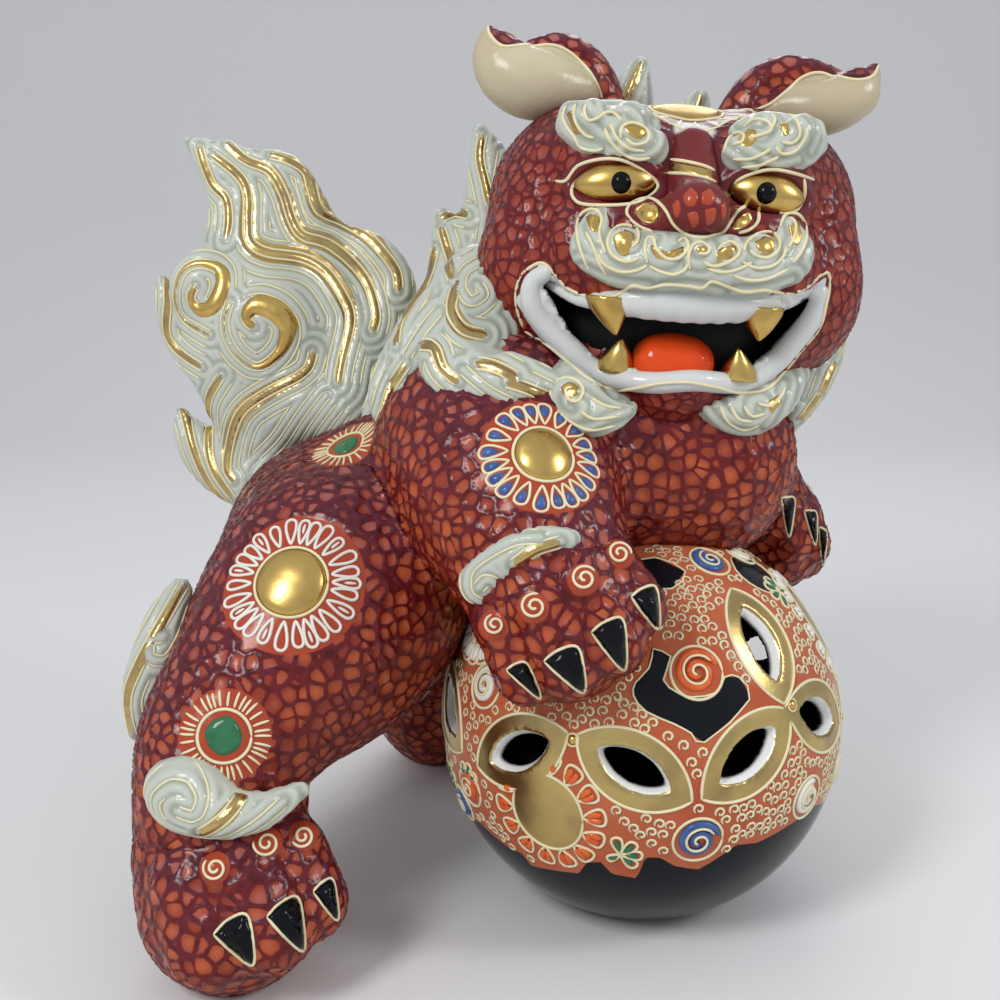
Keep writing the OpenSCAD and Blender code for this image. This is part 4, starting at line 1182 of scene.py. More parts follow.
for shape, h in (([(610, 398), (640, 388), (685, 400), (698, 422), (670, 445), (628, 430)], 0.25),
                 ([(398, 350), (418, 340), (432, 385), (455, 425), (425, 420)], 0.25),
                 ([(1045, 425), (1080, 405), (1110, 420), (1100, 458), (1060, 478), (1035, 460)], 0.25),
                 ([(1190, 395), (1215, 375), (1232, 405), (1215, 435)], 0.25),
                 ([(470, 735), (500, 720), (522, 745), (512, 790), (485, 785)], 0.25),
                 ([(567, 805), (600, 782), (645, 790), (650, 825), (625, 878), (588, 868)], 0.25),
                 ([(705, 835), (740, 870), (790, 878), (835, 845), (828, 870), (780, 892), (730, 885)], 0.25),
                 ([(880, 855), (905, 843), (920, 860), (895, 875)], 0.25),
                 ([(955, 870), (1000, 840), (1030, 850), (1015, 885), (960, 905)], 0.25),
                 ([(1100, 830), (1150, 800), (1182, 825), (1172, 862), (1125, 876)], 0.25),
                 ([(1225, 765), (1262, 745), (1280, 790), (1262, 840), (1240, 830)], 0.25),
                 ([(650, 705), (690, 680), (735, 695), (742, 735), (710, 762), (668, 745)], 0.5),
                 ([(1010, 785), (1040, 735), (1085, 715), (1095, 745), (1055, 778)], 0.5),
                 ([(790, 528), (940, 560), (945, 592), (830, 568), (775, 564)], 0.7),
                 ([(375, 1370), (410, 1350), (445, 1375), (430, 1405), (395, 1410)], 0.3),
                 ([(1150, 1425), (1190, 1400), (1200, 1430), (1160, 1470)], 0.3)):
    ring = smooth_line(shape + shape[:1], 3)[:-1]
    pad(face_gold, near_face, ring, h, 4)
for shape in ([(832, 655), (862, 625), (890, 655), (872, 698), (842, 690)],
              [(902, 645), (935, 630), (958, 668), (930, 692), (902, 684)],
              [(848, 722), (880, 715), (893, 750), (868, 778)], [(915, 708), (955, 702), (950, 750), (920, 768)],
              [(790, 690), (815, 670), (825, 710), (805, 740)],
              [(975, 690), (990, 680), (995, 720), (978, 750)]):
    pad(face_cells, near_face, smooth_line(shape + shape[:1], 3)[:-1], 0.35, 3)
place("face_gold", face_gold.mesh("face_gold"), gold_lustre, (), "gold_lustre")
place("nose_cells", face_cells.mesh("nose_cells"), glaze("nose_orange", (0.42, 0.07, 0.03), (0.3, 0.04, 0.02)), (),
      "scaled_skin")

# The gilded disc on the crown, ringed with white petals
white_slip = glaze("white_slip", (0.72, 0.69, 0.62), (0.78, 0.76, 0.70), 0.25)
crown_at = from_head(np.array([[0.5, -15.0, 47.0]]))[0]
crown = facing(head_world, crown_at, (0, -0.12, 1), (0, 1, 0))
disc, crown_petals = Patches(), Patches()
pad(disc, crown, ring_of(11.0, 40), 2.2, 8, 0.55)
trace(face_slip, crown, ring_of(11.7, 30), 0.5, 2, close=True)
for k in range(20):
    a = k / 20 * 2 * math.pi + 0.07
    root = (12.6 * math.cos(a), 12.6 * math.sin(a))
    pad(crown_petals, crown, turn2([(0, 0.03), (0.4, 0.09), (0.8, 0.11), (1.0, 0), (0.8, -0.11), (0.4, -0.09),
                                    (0, -0.03)], a, 7.6, root), 0.35, 3)
trace(face_slip, crown, ring_of(21.4, 40), 0.5, 2, close=True)
place("crown_disc", disc.mesh("crown_disc"), gold_lustre, ("forehead_disc",), "gold_lustre")
place("crown_petals", crown_petals.mesh("crown_petals"), white_slip, (), "white_glaze")
place("face_slip", face_slip.mesh("face_slip"), slip_glaze, (), "celadon_mane")

# Ears: curled leaves with a smooth ivory bowl in front and scales over the back of the curl.
ear_glaze = scaled_glaze("ear_glaze", 4.8)
t = ear_glaze.node_tree
ivory = pool(t, (0.52, 0.46, 0.32), (0.38, 0.30, 0.18), 26, 0.7)["Color"]
paint_over(ear_glaze, ivory, inside_mark(t, "bowl"))
ears = {
    "ear_right": ([[(-61, 0, 61, 7), (-57, -1, 57, 10), (-50, -1, 54.5, 11.5), (-42, 1, 54, 10.5), (-34, 3, 54, 8)],
                   [(-60, 1, 62, 8), (-63.5, 2, 67, 4), (-64, 2, 70.5, 1.5)],
                   [(-53, 7, 62, 4), (-45, 7, 64, 7), (-37, 8, 63.5, 8), (-30, 9, 58, 8.5), (-24, 10, 48, 8),
                    (-22, 10, 40, 8)]],
                  [(-64.5, 72), (-63.5, 68), (-59, 64.3), (-52, 65.6), (-44, 67), (-38, 65.5), (-32, 61), (-27, 54.5),
                   (-24, 48)]),
    "ear_left": ([[(58, 0, 58, 7), (52, -1, 55, 8.5), (45, 0, 53, 9), (37, 2, 53, 7.5), (30, 4, 51, 6)],
                  [(57, 1, 60, 6.5), (61.5, 2, 64, 4), (63.5, 2, 67.5, 1.5)],
                  [(58, 7, 61, 4), (50, 7, 62, 5.5), (42, 8, 63, 7), (34, 9, 62.5, 7.5), (27, 10, 57, 8),
                   (22, 10, 48, 8), (20, 10, 40, 8)]],
                 [(64.5, 69), (62, 64.8), (58, 62.6), (53, 62.4), (46, 64.6), (40, 63), (34, 57.5), (29, 53),
                  (22, 50)])}
for node, (rolls, rimline) in ears.items():
    ear = Clay((min(r[0][0] for r in rolls) - 20 if node == "ear_right" else 6, -18, 28),
               (-6 if node == "ear_right" else 80, 26, 80), 0.9)
    ear.roll(rolls[0], 1, 5)
    ear.roll(rolls[1], 4, 5)
    ear.roll(rolls[2], 1.2, 5)
    p, q = ear.fire()
    R = smooth_line(rimline, 6)
    order = np.argsort(R[:, 0])
    edge = np.interp(p[:, 0], R[order, 0], R[order, 1])
    bowl = np.where(p[:, 1] < 6, edge - p[:, 2], 6 - p[:, 1])
    bowl = np.minimum(bowl, np.where(p[:, 1] > 8, -3, 9))
    me = mesh_of(node + "_leaf", from_head(p), [q])
    mark(me, "bare", np.clip(bowl, -9, 9))
    me = bake_nodes(me, scale_relief("scales_of_" + node, 4.8, 0.35))
    mark(me, "bowl", np.clip(bowl, -3, 3))
    place(node + "_leaf", me, ear_glaze, (node,), "ivory_glaze")
    bvh = touching(p, q)
    sl, pts = Slip(), []
    for x0, z0 in R:
        hit = seen_from(bvh, x0, z0, -80)
        if hit:
            pts.append(np.array(hit))
    sl.trail(pts, 0.6)
    place(node + "_slip", sl.mesh(node + "_slip", from_head), slip_glaze, (), "celadon_mane")

# Fangs and tongue: four gilded cones set into the lips, and a glossy orange tongue.
fangs = {"fangs_upper": [(-22.3, -50.5, -9.8, -19.6, -54.5, -20.8), (24.3, -49, -9.8, 23.6, -53.5, -19.6)],
         "fangs_lower": [(-17.4, -42, -33, -16.6, -46, -23.4), (20.8, -42, -33.6, 19.2, -46, -24)]}
for node, pair in fangs.items():
    c = Clay((-34, -66, -46), (34, -38, 0), 0.55)
    r0 = 7 if node == "fangs_upper" else 6.2
    for a in pair:
        c.roll([(a[0], a[1], a[2], r0), (a[0] / 2 + a[3] / 2, a[1] / 2 + a[4] / 2 - 0.5, a[2] / 2 + a[5] / 2,
                                         r0 * 0.6), (a[3], a[4], a[5], 0.8)], 0.3, 5)
    w, x, y, z = c.window(c.lo, c.lo + c.step * c.n)
    c.d[w] = np.maximum(c.d[w], (z + 10.2 if node == "fangs_upper" else -33.4 - z))
    p, q = c.fire()
    place(node + "_set", mesh_of(node + "_set", from_head(p), [q]), gold_lustre, (node,), "gold_lustre")
p, q, t = dome((0, -19, -22), (36, 18, 22), 16, 40)
place("throat", mesh_of("throat", from_head(p), [q, t]),
      glaze("throat_black", (0.003, 0.003, 0.004), (0.005, 0.005, 0.006), 0.6), (), "black_glaze")
tongue_glaze = glaze("tongue_glaze", (0.72, 0.07, 0.01), (0.6, 0.04, 0.008), 0.08, 0.5, 40)
c = Clay((-22, -56, -54), (22, -8, -12), 0.9)
c.roll([(-5, -42, -29.5, 8), (5, -42, -29.5, 8)], 3, 1)
c.roll([(0, -40, -30, 9), (0, -34, -33, 10), (0, -24, -40, 8)], 4)
p, q = c.fire()
place("tongue_tip", mesh_of("tongue_tip", from_head(p), [q]), tongue_glaze, ("tongue",), "orange_glaze")

# ---------------------------------------------------------------- Raised ornament of the body
# Gilded domes ringed with petals, small studs with a spiral, and black claws let into the toes.
# All are trailed or pressed onto the raw skin, so each follows the surface below it.
skin_bvh = touching(skin_p, skin_q)


blue_enamel = glaze("blue_enamel", (0.035, 0.085, 0.27), (0.09, 0.16, 0.38), 0.12, 0.6, 220)
green_enamel = glaze("green_enamel", (0.025, 0.13, 0.06), (0.05, 0.20, 0.10), 0.12, 0.7, 200)
orange_enamel = glaze("orange_enamel", (0.62, 0.09, 0.02), (0.74, 0.2, 0.05), 0.12, 0.6, 180)
body_slip, body_white, blues, greens, golds = Slip(), Slip(), Patches(), Patches(), Patches()

# petal outline, pointing along +X, 1 long from its root to its round end
petal = [(0, 0), (0.25, 0.13), (0.6, 0.25), (0.88, 0.25), (1.0, 0.1), (1.0, -0.1), (0.88, -0.25), (0.6, -0.25),
         (0.25, -0.13)]
for name, count, r0, r1, up in (("chest", 20, 10.2, 17.6, (0, 0, 1)), ("haunch", 26, 12.2, 20.6, (0, 0, 1)),
                                ("rump", 26, 6.6, 11.8, (0, 0, 1)), ("shank", 34, 8.6, 13.2, (0, 0, 1))):
    mid, way, bare, g = medallions[name]
    on = facing(skin_bvh, mid, way, up)
    if name in ("chest", "haunch"):
        pad(golds, on, ring_of(g, 48), 2.2, 8, 0.6)
        trace(body_slip, on, ring_of(g + 0.4, 30), 0.5, 2, close=True)
    else:
        blob = [(-0.75, -0.5), (-0.1, -0.95), (0.7, -0.6), (0.85, 0.2), (0.3, 0.95), (-0.5, 0.8), (-0.95, 0.2)]
        blob = [(x * g * 0.95, y * g * 0.95) for x, y in smooth_line(blob + blob[:1], 4)[:-1]]
        pad(greens, on, blob, 0.8, 4)
        trace(body_slip, on, ring_of(g * 1.25, 26), 0.5, 2, close=True)
    for k in range(count):
        a = k / count * 2 * math.pi + 0.05 * math.sin(k * 5.1)
        root = (r0 * math.cos(a), r0 * math.sin(a))
        size = (r1 - r0) * (1 + 0.06 * math.sin(k * 3.7))
        if name == "chest":
            shape = turn2(petal, a, size, root)
            trace(body_slip, on, shape, 0.42, 3, close=True)
            pad(blues, on, turn2([(0.3 + 0.62 * x, 0.72 * y) for x, y in petal], a, size, root), 0.55, 2)
        elif name == "haunch":
            wide = [(x, y * 0.72) for x, y in petal]
            trace(body_white, on, turn2(wide, a, size, root), 0.52, 3, close=True)
            if k % 3 == 0:
                trace(body_white, on, turn2([(0.45, 0), (0.85, 0)], a, size, root), 0.5, 4)
        else:
            trace(body_slip, on, turn2([(0, 0), (0.5, 0.02), (1, 0)], a, size, root), 0.42, 3)
for k, mid in enumerate(studs):
    on = facing(skin_bvh, mid, (0.1, -0.85, 0.45))
    r = (4.4, 4.6, 4.6, 3.6, 4.2, 4.6, 4.0)[k]
    trace(body_slip, on, swirl(r * 0.82, 1.7, 26, 0.6 * k), 0.45, 2)

# Claws: each is a domed black triangle with its tip down, outlined in slip
claw_marks = {
    "claws_hindpaw_right": [[(213.5, 934.5), (245.8, 914.2), (253, 965)], [(266.8, 917), (297, 897), (303, 951)],
                            [(313, 891.7), (332, 879), (337.4, 920)]],
    "claws_forepaw_right": [[(631, 596.6), (655, 586.6), (658, 629)], [(591.6, 632), (621.7, 618.7), (624.4, 670)],
                            [(544, 661), (576.8, 647), (583.5, 692.4)], [(506.5, 670), (526, 663), (540, 698.4)]],
    "claws_forepaw_left": [[(781, 498), (794, 499), (789, 537)], [(804, 511), (816, 513), (815, 545)],
                           [(819, 527), (826, 533), (823, 566)]]}
look = sight(skin_bvh)
for node, marks in [*claw_marks.items(), ("claws_hindpaw_left", [(-56, 79, 19), (-44, 97, 20), (-43, 116, 20)])]:
    blk, edge = Patches(), Slip()
    if node == "claws_hindpaw_left":
        for mid in marks:
            on = facing(skin_bvh, mid, (1, 0.1, 0.15))
            ring = smooth_line([(-3.8, 5.5), (0, 6.6), (3.8, 5.5), (2.6, 0), (0.2, -8), (-2.4, 0), (-3.8, 5.5)],
                               5)[:-1]
            pad(blk, on, ring, 2.4, 6, 0.6, 1.5)
            trace(edge, on, ring, 0.5, 1, True)
        marks = []
    for a, b, tip in marks:
        a, b, tip = map(np.array, (a, b, tip))
        side = [a, a * 0.5 + b * 0.5 + (b - a)[::-1] * (0.12, -0.12), b, b * 0.5 + tip * 0.5 + (b - a) * 0.10, tip,
                a * 0.5 + tip * 0.5 - (b - a) * 0.06]
        ring = smooth_line([tuple(x) for x in side] + [tuple(side[0])], 5)[:-1]
        pad(blk, look, ring, 2.4, 6, 0.6, 1.5)
        trace(edge, look, [tuple(x) for x in ring], 0.5, 1, True)
    if blk.n:
        place(node + "_let_in", blk.mesh(node + "_let_in"), black_glaze, (node,), "black_glaze")
        place(node + "_slip", edge.mesh(node + "_slip"), slip_glaze, (), "celadon_mane")
place("medallion_domes", golds.mesh("medallion_domes"), gold_lustre, (), "gold_lustre")
place("blue_petals", blues.mesh("blue_petals"), blue_enamel, (), "ball_ground")
place("green_eyes", greens.mesh("green_eyes"), green_enamel, (), "ball_ground")
place("body_slip", body_slip.mesh("body_slip"), slip_glaze, (), "celadon_mane")
place("haunch_petals", body_white.mesh("haunch_petals"), white_slip, (), "white_glaze")

# ---------------------------------------------------------------- Mane and tufts
# Rolls of clay laid on the neck and the shoulders, combed like the tail, and small curls that
# sit on the wrists, the hocks and the ankles.
def off_skin(h):
    q = h - HEAD_AT
    lx = q[:, 0] * math.cos(tilt) - q[:, 2] * math.sin(tilt)
    lz = q[:, 0] * math.sin(tilt) + q[:, 2] * math.cos(tilt)
    return np.minimum(body.at(h), skull.at(np.column_stack([lx, q[:, 1], lz])))


mane_right = Clay((-106, -52, 146), (-14, 82, 268), 0.95)
for r in ([(-58, 56, 259, 3), (-54, 56, 247, 8), (-52, 54, 231, 13), (-51, 48, 213, 17), (-52, 42, 195, 17)],
          [(-72, 54, 230, 3), (-68, 54, 220, 8), (-66, 52, 206, 12), (-67, 44, 190, 15), (-72, 34, 176, 13)],
          [(-64, 46, 204, 12), (-77, 40, 189, 11), (-85, 32, 174, 10), (-91, 24, 162, 8), (-95, 18, 154, 4)],
          [(-56, 16, 206, 15), (-70, 0, 193, 12), (-79, -8, 184, 8), (-82, -14, 176, 3)],
          [(-52, 8, 204, 13), (-63, -8, 194, 11), (-68, -22, 184, 8), (-65, -31, 176, 3)],
          [(-50, 2, 196, 11), (-57, -14, 187, 9), (-57, -26, 180, 7), (-50, -35, 173, 3)],
          [(-66, 26, 196, 14), (-80, 16, 182, 11), (-88, 8, 172, 7), (-90, 2, 165, 3)],
          [(-55, -12, 186, 8), (-47, -26, 178, 6), (-38, -33, 173, 3)],
          [(-60, 14, 198, 15), (-64, -2, 191, 11), (-62, -18, 182, 8)],
          [(-66, -22, 186, 7), (-58, -31, 182, 6.5), (-50, -36, 180, 5.5), (-42, -37, 178, 3.5)],
          [(-64, -24, 178, 5), (-55, -33, 176, 5), (-48, -38, 174, 3)],
          [(-48, -30, 183, 6), (-40, -31, 181, 5), (-34, -33, 179, 3)]):
    mane_right.roll(r, 4)
mane_strands = [
    ([(-57, 258), (-58, 250), (-56, 241), (-54, 232)], 1.3), ([(-50, 252), (-52, 240), (-54, 226), (-56, 213)], 0),
    ([(-72, 229), (-67, 231), (-62, 230)], 1.4), ([(-72, 226), (-69, 217), (-66, 209)], 1.4),
    ([(-64, 209), (-66, 201), (-62, 195), (-55, 193)], 1.9),
([(-57, 215), (-62, 212), (-63, 207), (-60, 203), (-56, 205), (-58, 208)], 0),
    ([(-76, 190), (-71, 190), (-68, 184), (-63, 180)], 1.7), ([(-58, 186), (-52, 185), (-46, 182)], 1.6),
    ([(-49, 181), (-43, 179), (-37, 176)], 1.5), ([(-74, 219), (-77, 208), (-83, 197), (-84, 189)], 1.6),
    ([(-80, 184), (-86, 175), (-89, 166), (-93, 158)], 1.3), ([(-62, 184), (-54, 178), (-45, 174), (-34, 172)], 0),
    ([(-70, 200), (-75, 194), (-80, 186)], 0)]
hair_piece("mane_right_hair", mane_right, mane_strands, ("mane_right",), 3.1, 0.4, None, off_skin, (-1, 1), 0.42, 6)

mane_left = Clay((26, -10, 148), (80, 62, 246), 0.95)
for r in ([(54, 40, 226, 15), (59, 36, 208, 12), (60, 30, 193, 10), (57, 24, 179, 9), (50, 18, 167, 7),
           (44, 14, 158, 4)],
          [(52, 24, 196, 12), (52, 10, 180, 9), (46, 2, 168, 5)]):
    mane_left.roll(r, 4)
hair_piece("mane_left_hair", mane_left,
           [([(64, 222), (67, 206), (67, 196)], 0), ([(65, 192), (64, 188), (62, 184)], 1.9),
            ([(60, 182), (57, 177), (55, 172)], 1.9),
            ([(54, 172), (51, 168), (48, 164)], 1.7), ([(50, 196), (52, 184), (48, 172)], 0)],
           ("mane_left",), 3.1, 0.4, None, off_skin, (-1, 1), 0.42, 6)

mane_back = Clay((-72, 20, 136), (56, 104, 272), 1.1)
back_strands = []
for i, (r, au) in enumerate((
        ([(-34, 62, 258, 6), (-36, 70, 240, 14), (-40, 70, 214, 17), (-46, 62, 188, 16), (-54, 52, 166, 10),
          (-60, 44, 152, 4)], 2.2),
        ([(-12, 66, 262, 6), (-12, 78, 242, 14), (-14, 80, 214, 17), (-18, 72, 186, 16), (-24, 62, 164, 10),
          (-28, 54, 148, 4)], 2.2),
        ([(12, 66, 260, 6), (14, 78, 240, 14), (14, 80, 212, 17), (12, 72, 184, 16), (8, 62, 162, 10),
          (6, 54, 146, 4)], 2.2),
        ([(34, 60, 254, 6), (38, 68, 236, 14), (42, 68, 210, 17), (40, 60, 184, 15), (34, 52, 164, 10),
          (30, 44, 148, 4)], 2.2))):
    mane_back.roll(r, 3)
    back_strands.append(([(a[0] + 3 * math.sin(k * 1.5 + i), a[2]) for k, a in enumerate(r)], au))
hair_piece("mane_back_hair", mane_back, back_strands, ("mane_back",), 4.6, 0.55, None, off_skin, (1,), 0.45, 5)

crown = Clay((-26, 34, 238), (30, 76, 286), 0.8)
for r in ([(-2, 50, 281, 3), (-5, 52, 270, 8), (-8, 56, 258, 11), (-10, 62, 246, 10)],
          [(19, 48, 270, 3), (16, 52, 262, 7), (12, 58, 252, 9)]):
    crown.roll(r, 3)
hair_piece("mane_crown_hair", crown, [([(-2, 282), (-6, 272), (-11, 262)], 1.3), ([(3, 276), (3, 266), (0, 256)], 0),
                                      ([(19, 271), (16, 262), (12, 255)], 1.0)], ("mane_crown",), 3.8, 0.45, None,
           off_skin, (-1, 1), 0.42, 4)

tufts = {
    "wrist_tuft_right": ([(-56, -59, 125, 7), (-52, -61, 130, 7), (-47, -64, 135, 6), (-39, -66, 139, 4.5),
                          (-31, -66, 139.5, 3)],
                         [([(-40, 141), (-47, 140), (-54, 136), (-60, 130), (-60, 123), (-55, 120), (-51, 124),
                            (-54, 128), (-57, 125)], 0),
                          ([(-47, 133), (-41, 137.5), (-34, 139.5)], 1.5)]),
    "wrist_tuft_left": ([(58, 46, 131, 4), (60, 52, 126, 7), (56, 58, 119, 6), (48, 60, 112, 3)],
                        [([(58, 132), (60, 125), (56, 117)], 1.2)]),
    "hock_tuft_right": ([(-155, -16, 110, 4), (-158, -20, 102, 7), (-160, -24, 92, 9), (-165, -28, 80, 7),
                         (-167, -32, 68, 3)],
                        [([(-153, 113), (-158, 103), (-164, 92), (-169, 80), (-168, 68)], 1.2),
                         ([(-150, 106), (-152, 98), (-156, 92), (-161, 93), (-161, 98), (-157, 99)], 0)]),
    "hock_tuft_left": ([(-118, 86, 106, 4), (-121, 92, 98, 7), (-120, 98, 88, 9), (-118, 104, 76, 7),
                        (-115, 108, 66, 3)],
                       [([(-118, 107), (-122, 98), (-121, 88), (-119, 76)], 1.2)]),
    "ankle_tuft_right": ([(-146, -67, 65, 9), (-141, -70, 64, 11), (-131, -74, 61, 8), (-120, -74, 61, 5.5),
                          (-109, -69, 65, 2.6)],
                         [([(-113, 64), (-122, 58), (-132, 53), (-143, 54), (-151, 59), (-152, 67), (-146, 73),
                            (-139, 73), (-135, 68), (-137, 63), (-142, 64)], 0),
                          ([(-123, 69), (-128, 63), (-136, 57)], 1.8)]),
    "ankle_tuft_left": ([(-101, 84, 44, 7), (-92, 77, 46, 12), (-82, 74, 52, 8), (-74, 76, 56, 5), (-68, 80, 58, 3)],
                        [([(-101, 42), (-92, 46), (-82, 52), (-72, 58)], 0)])}
for node, (r, lines) in tufts.items():
    a = np.array(r)
    tuft = Clay(a[:, :3].min(0) - 16, a[:, :3].max(0) + 16, 0.8)
    tuft.roll(r, 1)
    hair_piece(node + "_hair", tuft, lines, (node,), 3.4, 0.4, None, off_skin, (-1, 1), 0.4, 4, 0.5)

# ---------------------------------------------------------------- Ball
# The openwork ball: a thrown shell with leaf-shaped windows, white on the cut walls. The windows
# are ringed in gold and joined by rivets; the ground is salmon with trailed curls, the foot black.
def on_ball(lon, lat, spin=0.0):
    """Coordinates in mm on the ball round a place given in degrees, turned by `spin`."""
    lo, la, sp = map(math.radians, (lon, lat, spin))
    out = np.array([math.sin(lo) * math.cos(la), -math.cos(lo) * math.cos(la), math.sin(la)])
    e = np.array([math.cos(lo), math.sin(lo), 0])
    n = np.array([-math.sin(la) * math.sin(lo), math.sin(la) * math.cos(lo), math.cos(la)])
    a, b = e * math.cos(sp) + n * math.sin(sp), n * math.cos(sp) - e * math.sin(sp)

    def at(u, v):
        d = out * BALL_R + a * u + b * v
        d /= np.linalg.norm(d)
        return np.array(BALL) + d * BALL_R, d
    at.axes = (out, a, b)
    return at


def leaf(a, b, long, wide):
    """Distance to a leaf of two arcs, below 0 inside."""
    r = (long ** 2 + wide ** 2) / (4 * wide)
    c = r - wide / 2
    return np.maximum(np.hypot(a, b - c), np.hypot(a, b + c)) - r


windows = [(-40, 7, 30), (-7.5, 7.5, -28), (23.5, 9.5, 34), (53, 13, -25), (89, 10, 30), (128, 10, -30),
           (167, 10, 30), (205, 10, -30), (244, 10, 30), (283, 8, -30), (37, 37, 90), (186, 37, 90), (263, 37, 90)]
ball = Clay(np.array(BALL) - 70, np.array(BALL) + 70, 1.06)
w, x, y, z = ball.window(ball.lo, ball.lo + ball.step * ball.n)
x, y, z = x - BALL[0], y - BALL[1], z - BALL[2]
rad = np.sqrt(x * x + y * y + z * z)
foot = -BALL[2] - z
outer = np.maximum(rad - BALL_R, foot)
inner = np.maximum(rad - BALL_R + 5, foot + 5)
shell = np.maximum(outer, -inner)
for lon, lat, spin in windows:
    o, a, b = on_ball(lon, lat, spin).axes
    u, v, k = x * a[0] + y * a[1] + z * a[2], x * b[0] + y * b[1] + z * b[2], x * o[0] + y * o[1] + z * o[2]
    shell = np.maximum(shell, -np.where(k > 40, leaf(u, v, 25.6, 12.2) + np.clip(BALL_R - rad, 0, 5) * 0.42, 9))
ball.d[w] = shell[:ball.n[0], :ball.n[1], :ball.n[2]]
ball_p, ball_q = ball.fire()
d = ball_p - BALL
rad = np.linalg.norm(d, axis=1)
true = np.abs(rad - BALL_R) < 0.3
ball_p[true] = np.array(BALL) + d[true] / rad[true][:, None] * BALL_R
d /= rad[:, None]
lon_of, lat_of = np.degrees(np.arctan2(d[:, 0], -d[:, 1])), np.degrees(np.arcsin(np.clip(d[:, 2], -1, 1)))

# gold round the windows and in the discs
discs = [(-30.5, -7.6, 0, 11.8, 12.6), (82, 33, 0, 10.5, 15), (140, 36, 0, 11, 11), (232, 37, 0, 11, 11),
         (-70, 38, 0, 10, 10)]


def local(lon, lat, spin=0.0):
    o, a, b = on_ball(lon, lat, spin).axes
    k = d @ o
    return np.where(k > 0.3, (d @ a) * BALL_R, 99), np.where(k > 0.3, (d @ b) * BALL_R, 99)


round_windows = [leaf(*local(*w), 40, 22) for w in windows]
round_discs = []
for lon, lat, spin, ru, rv in discs:
    u, v = local(lon, lat, spin)
    round_discs.append((np.hypot(u / ru, v / rv) - 1) * min(ru, rv))
gold = np.maximum(-9.0, -np.min(round_windows + round_discs, axis=0))
wall = BALL_R - rad

# black foot with a ragged upper edge, and black islands
edge = np.array([(-180, -24), (-150, -20), (-120, -25), (-95, -20), (-72, -24), (-60, -22), (-48, -25), (-42, -25),
                 (-40, -29), (-23, -26),
                 (-20, -21), (-16, -20), (-13, -24), (-6, -25), (-4, -17), (0, -17), (4, -20), (11, -22), (14, -20),
                 (21, -15),
                 (28, -16), (38, -14), (51, -12), (66, -17), (84, -15), (100, -22), (130, -18), (155, -23),
                 (180, -24)], float)
black = (np.interp(lon_of, edge[:, 0], edge[:, 1]) - lat_of) * BALL_R * math.pi / 180
islands = {(8, 27): [(-10, 14), (-5, 11), (-8, 4), (-4, 0), (0, -1.5), (8, -0.5), (11, 4), (16, 4), (19, -3),
                     (3, -15), (-1, -12),
                     (-6, -9), (-14, -5), (-17.5, 0), (-16.5, 4), (-12, 8)],
           (62, 54): [(-2, 10), (5, 10), (10, 5), (11, -2), (4, -8), (-4, -6), (-8, 0), (-7, 6)],
           (-86, 4): [(-10, 20), (6, 18), (10, 6), (6, -6), (9, -16), (-4, -18), (-12, -8), (-8, 4)],
           (-60, 58): [(-9, 4), (0, 8), (9, 3), (6, -6), (-4, -7)],
           (112, 44): [(-9, 6), (2, 9), (10, 2), (4, -8), (-6, -6)],
           (160, -8): [(-8, 3), (0, 7), (9, 2), (5, -6), (-5, -5)],
           (210, 62): [(-9, 4), (0, 9), (9, 2), (4, -7), (-5, -6)],
           (0, 62): [(-9, 4), (1, 7), (10, 1), (5, -7), (-6, -6)]}
for (lon, lat), outline in islands.items():
    u, v = local(lon, lat)
    close = (np.abs(u) < 30) & (np.abs(v) < 30)
    patch = np.full(len(d), -9.0)
    patch[close] = -pane(outline)(u[close], v[close])
    black = np.maximum(black, patch)
black = np.minimum(black, -gold)

# Ornament: (kind, longitude, latitude, turn, size)
swirls = [("orange", 10.4, 31.8, 0.3, 7.6), ("blue", 39.9, 64.1, 1.2, 6.2), ("blue", 9.6, -11.8, 0.2, 7.2),
          ("white", 45, -7.2, 1.0, 6.6),
          ("white", -56, 20.5, 0.8, 6.6), ("blue", -69, -19, 0.8, 5.8), ("orange", -18, 36, 1.0, 6.4),
          ("white", 68, -8, 0.2, 6),
          ("orange", 108, -10, 0, 6.6), ("blue", 148, 58, 0, 6.4), ("blue", 108, 26, 0.6, 5.6),
          ("white", 178, -10, 2, 6.4), ("orange", 160, 30, 1, 6),
          ("blue", 208, 34, 0, 6), ("white", 228, 62, 0, 6.2), ("orange", 222, -10, 1.2, 6.6),
          ("blue", 262, -12, 0.4, 6.4), ("white", 262, 62, 2, 6),
          ("orange", 300, -10, 0.4, 6), ("blue", 284, 34, 0.7, 5.8), ("white", 76, 62, 0.4, 5.6),
          ("orange", -30, 58, 0.2, 6)]
sprays = [(-10.5, -16.5, 0.1), (66, 47, 2.4), (-60, -8, 1.5), (92, -12, 0.6), (140, -10, 0.3), (200, -12, 0.2),
          (244, -12, 0.4), (283, -14, 0.5),
          (120, 62, 0.1), (186, 66, 0.8)]
taken = np.full(len(d), 9.0)
for kind, lon, lat, a0, r in swirls:
    u, v = local(lon, lat)
    taken = np.minimum(taken, np.hypot(u, v) - r - 0.9)
for lon, lat, a0 in sprays:
    u, v = local(lon, lat)
    taken = np.minimum(taken, np.hypot(u, v) - 7.2)
taken = np.minimum(taken, np.min(round_discs, axis=0) - 7.8)
# near the lion's paws and chest the ball was glazed plain, under the luted seat
free = np.minimum(np.minimum(-black, -gold), taken) - 1.5
free = np.where(wall > 0.4, -9, free)
lion = body.at(ball_p)
free = np.minimum(free, lion - 1.5)

ball_me = mesh_of("ball_shell", ball_p, [ball_q])
for label, v in (("gold", gold), ("black", black), ("wall", wall), ("free", free)):
    mark(ball_me, label, v)


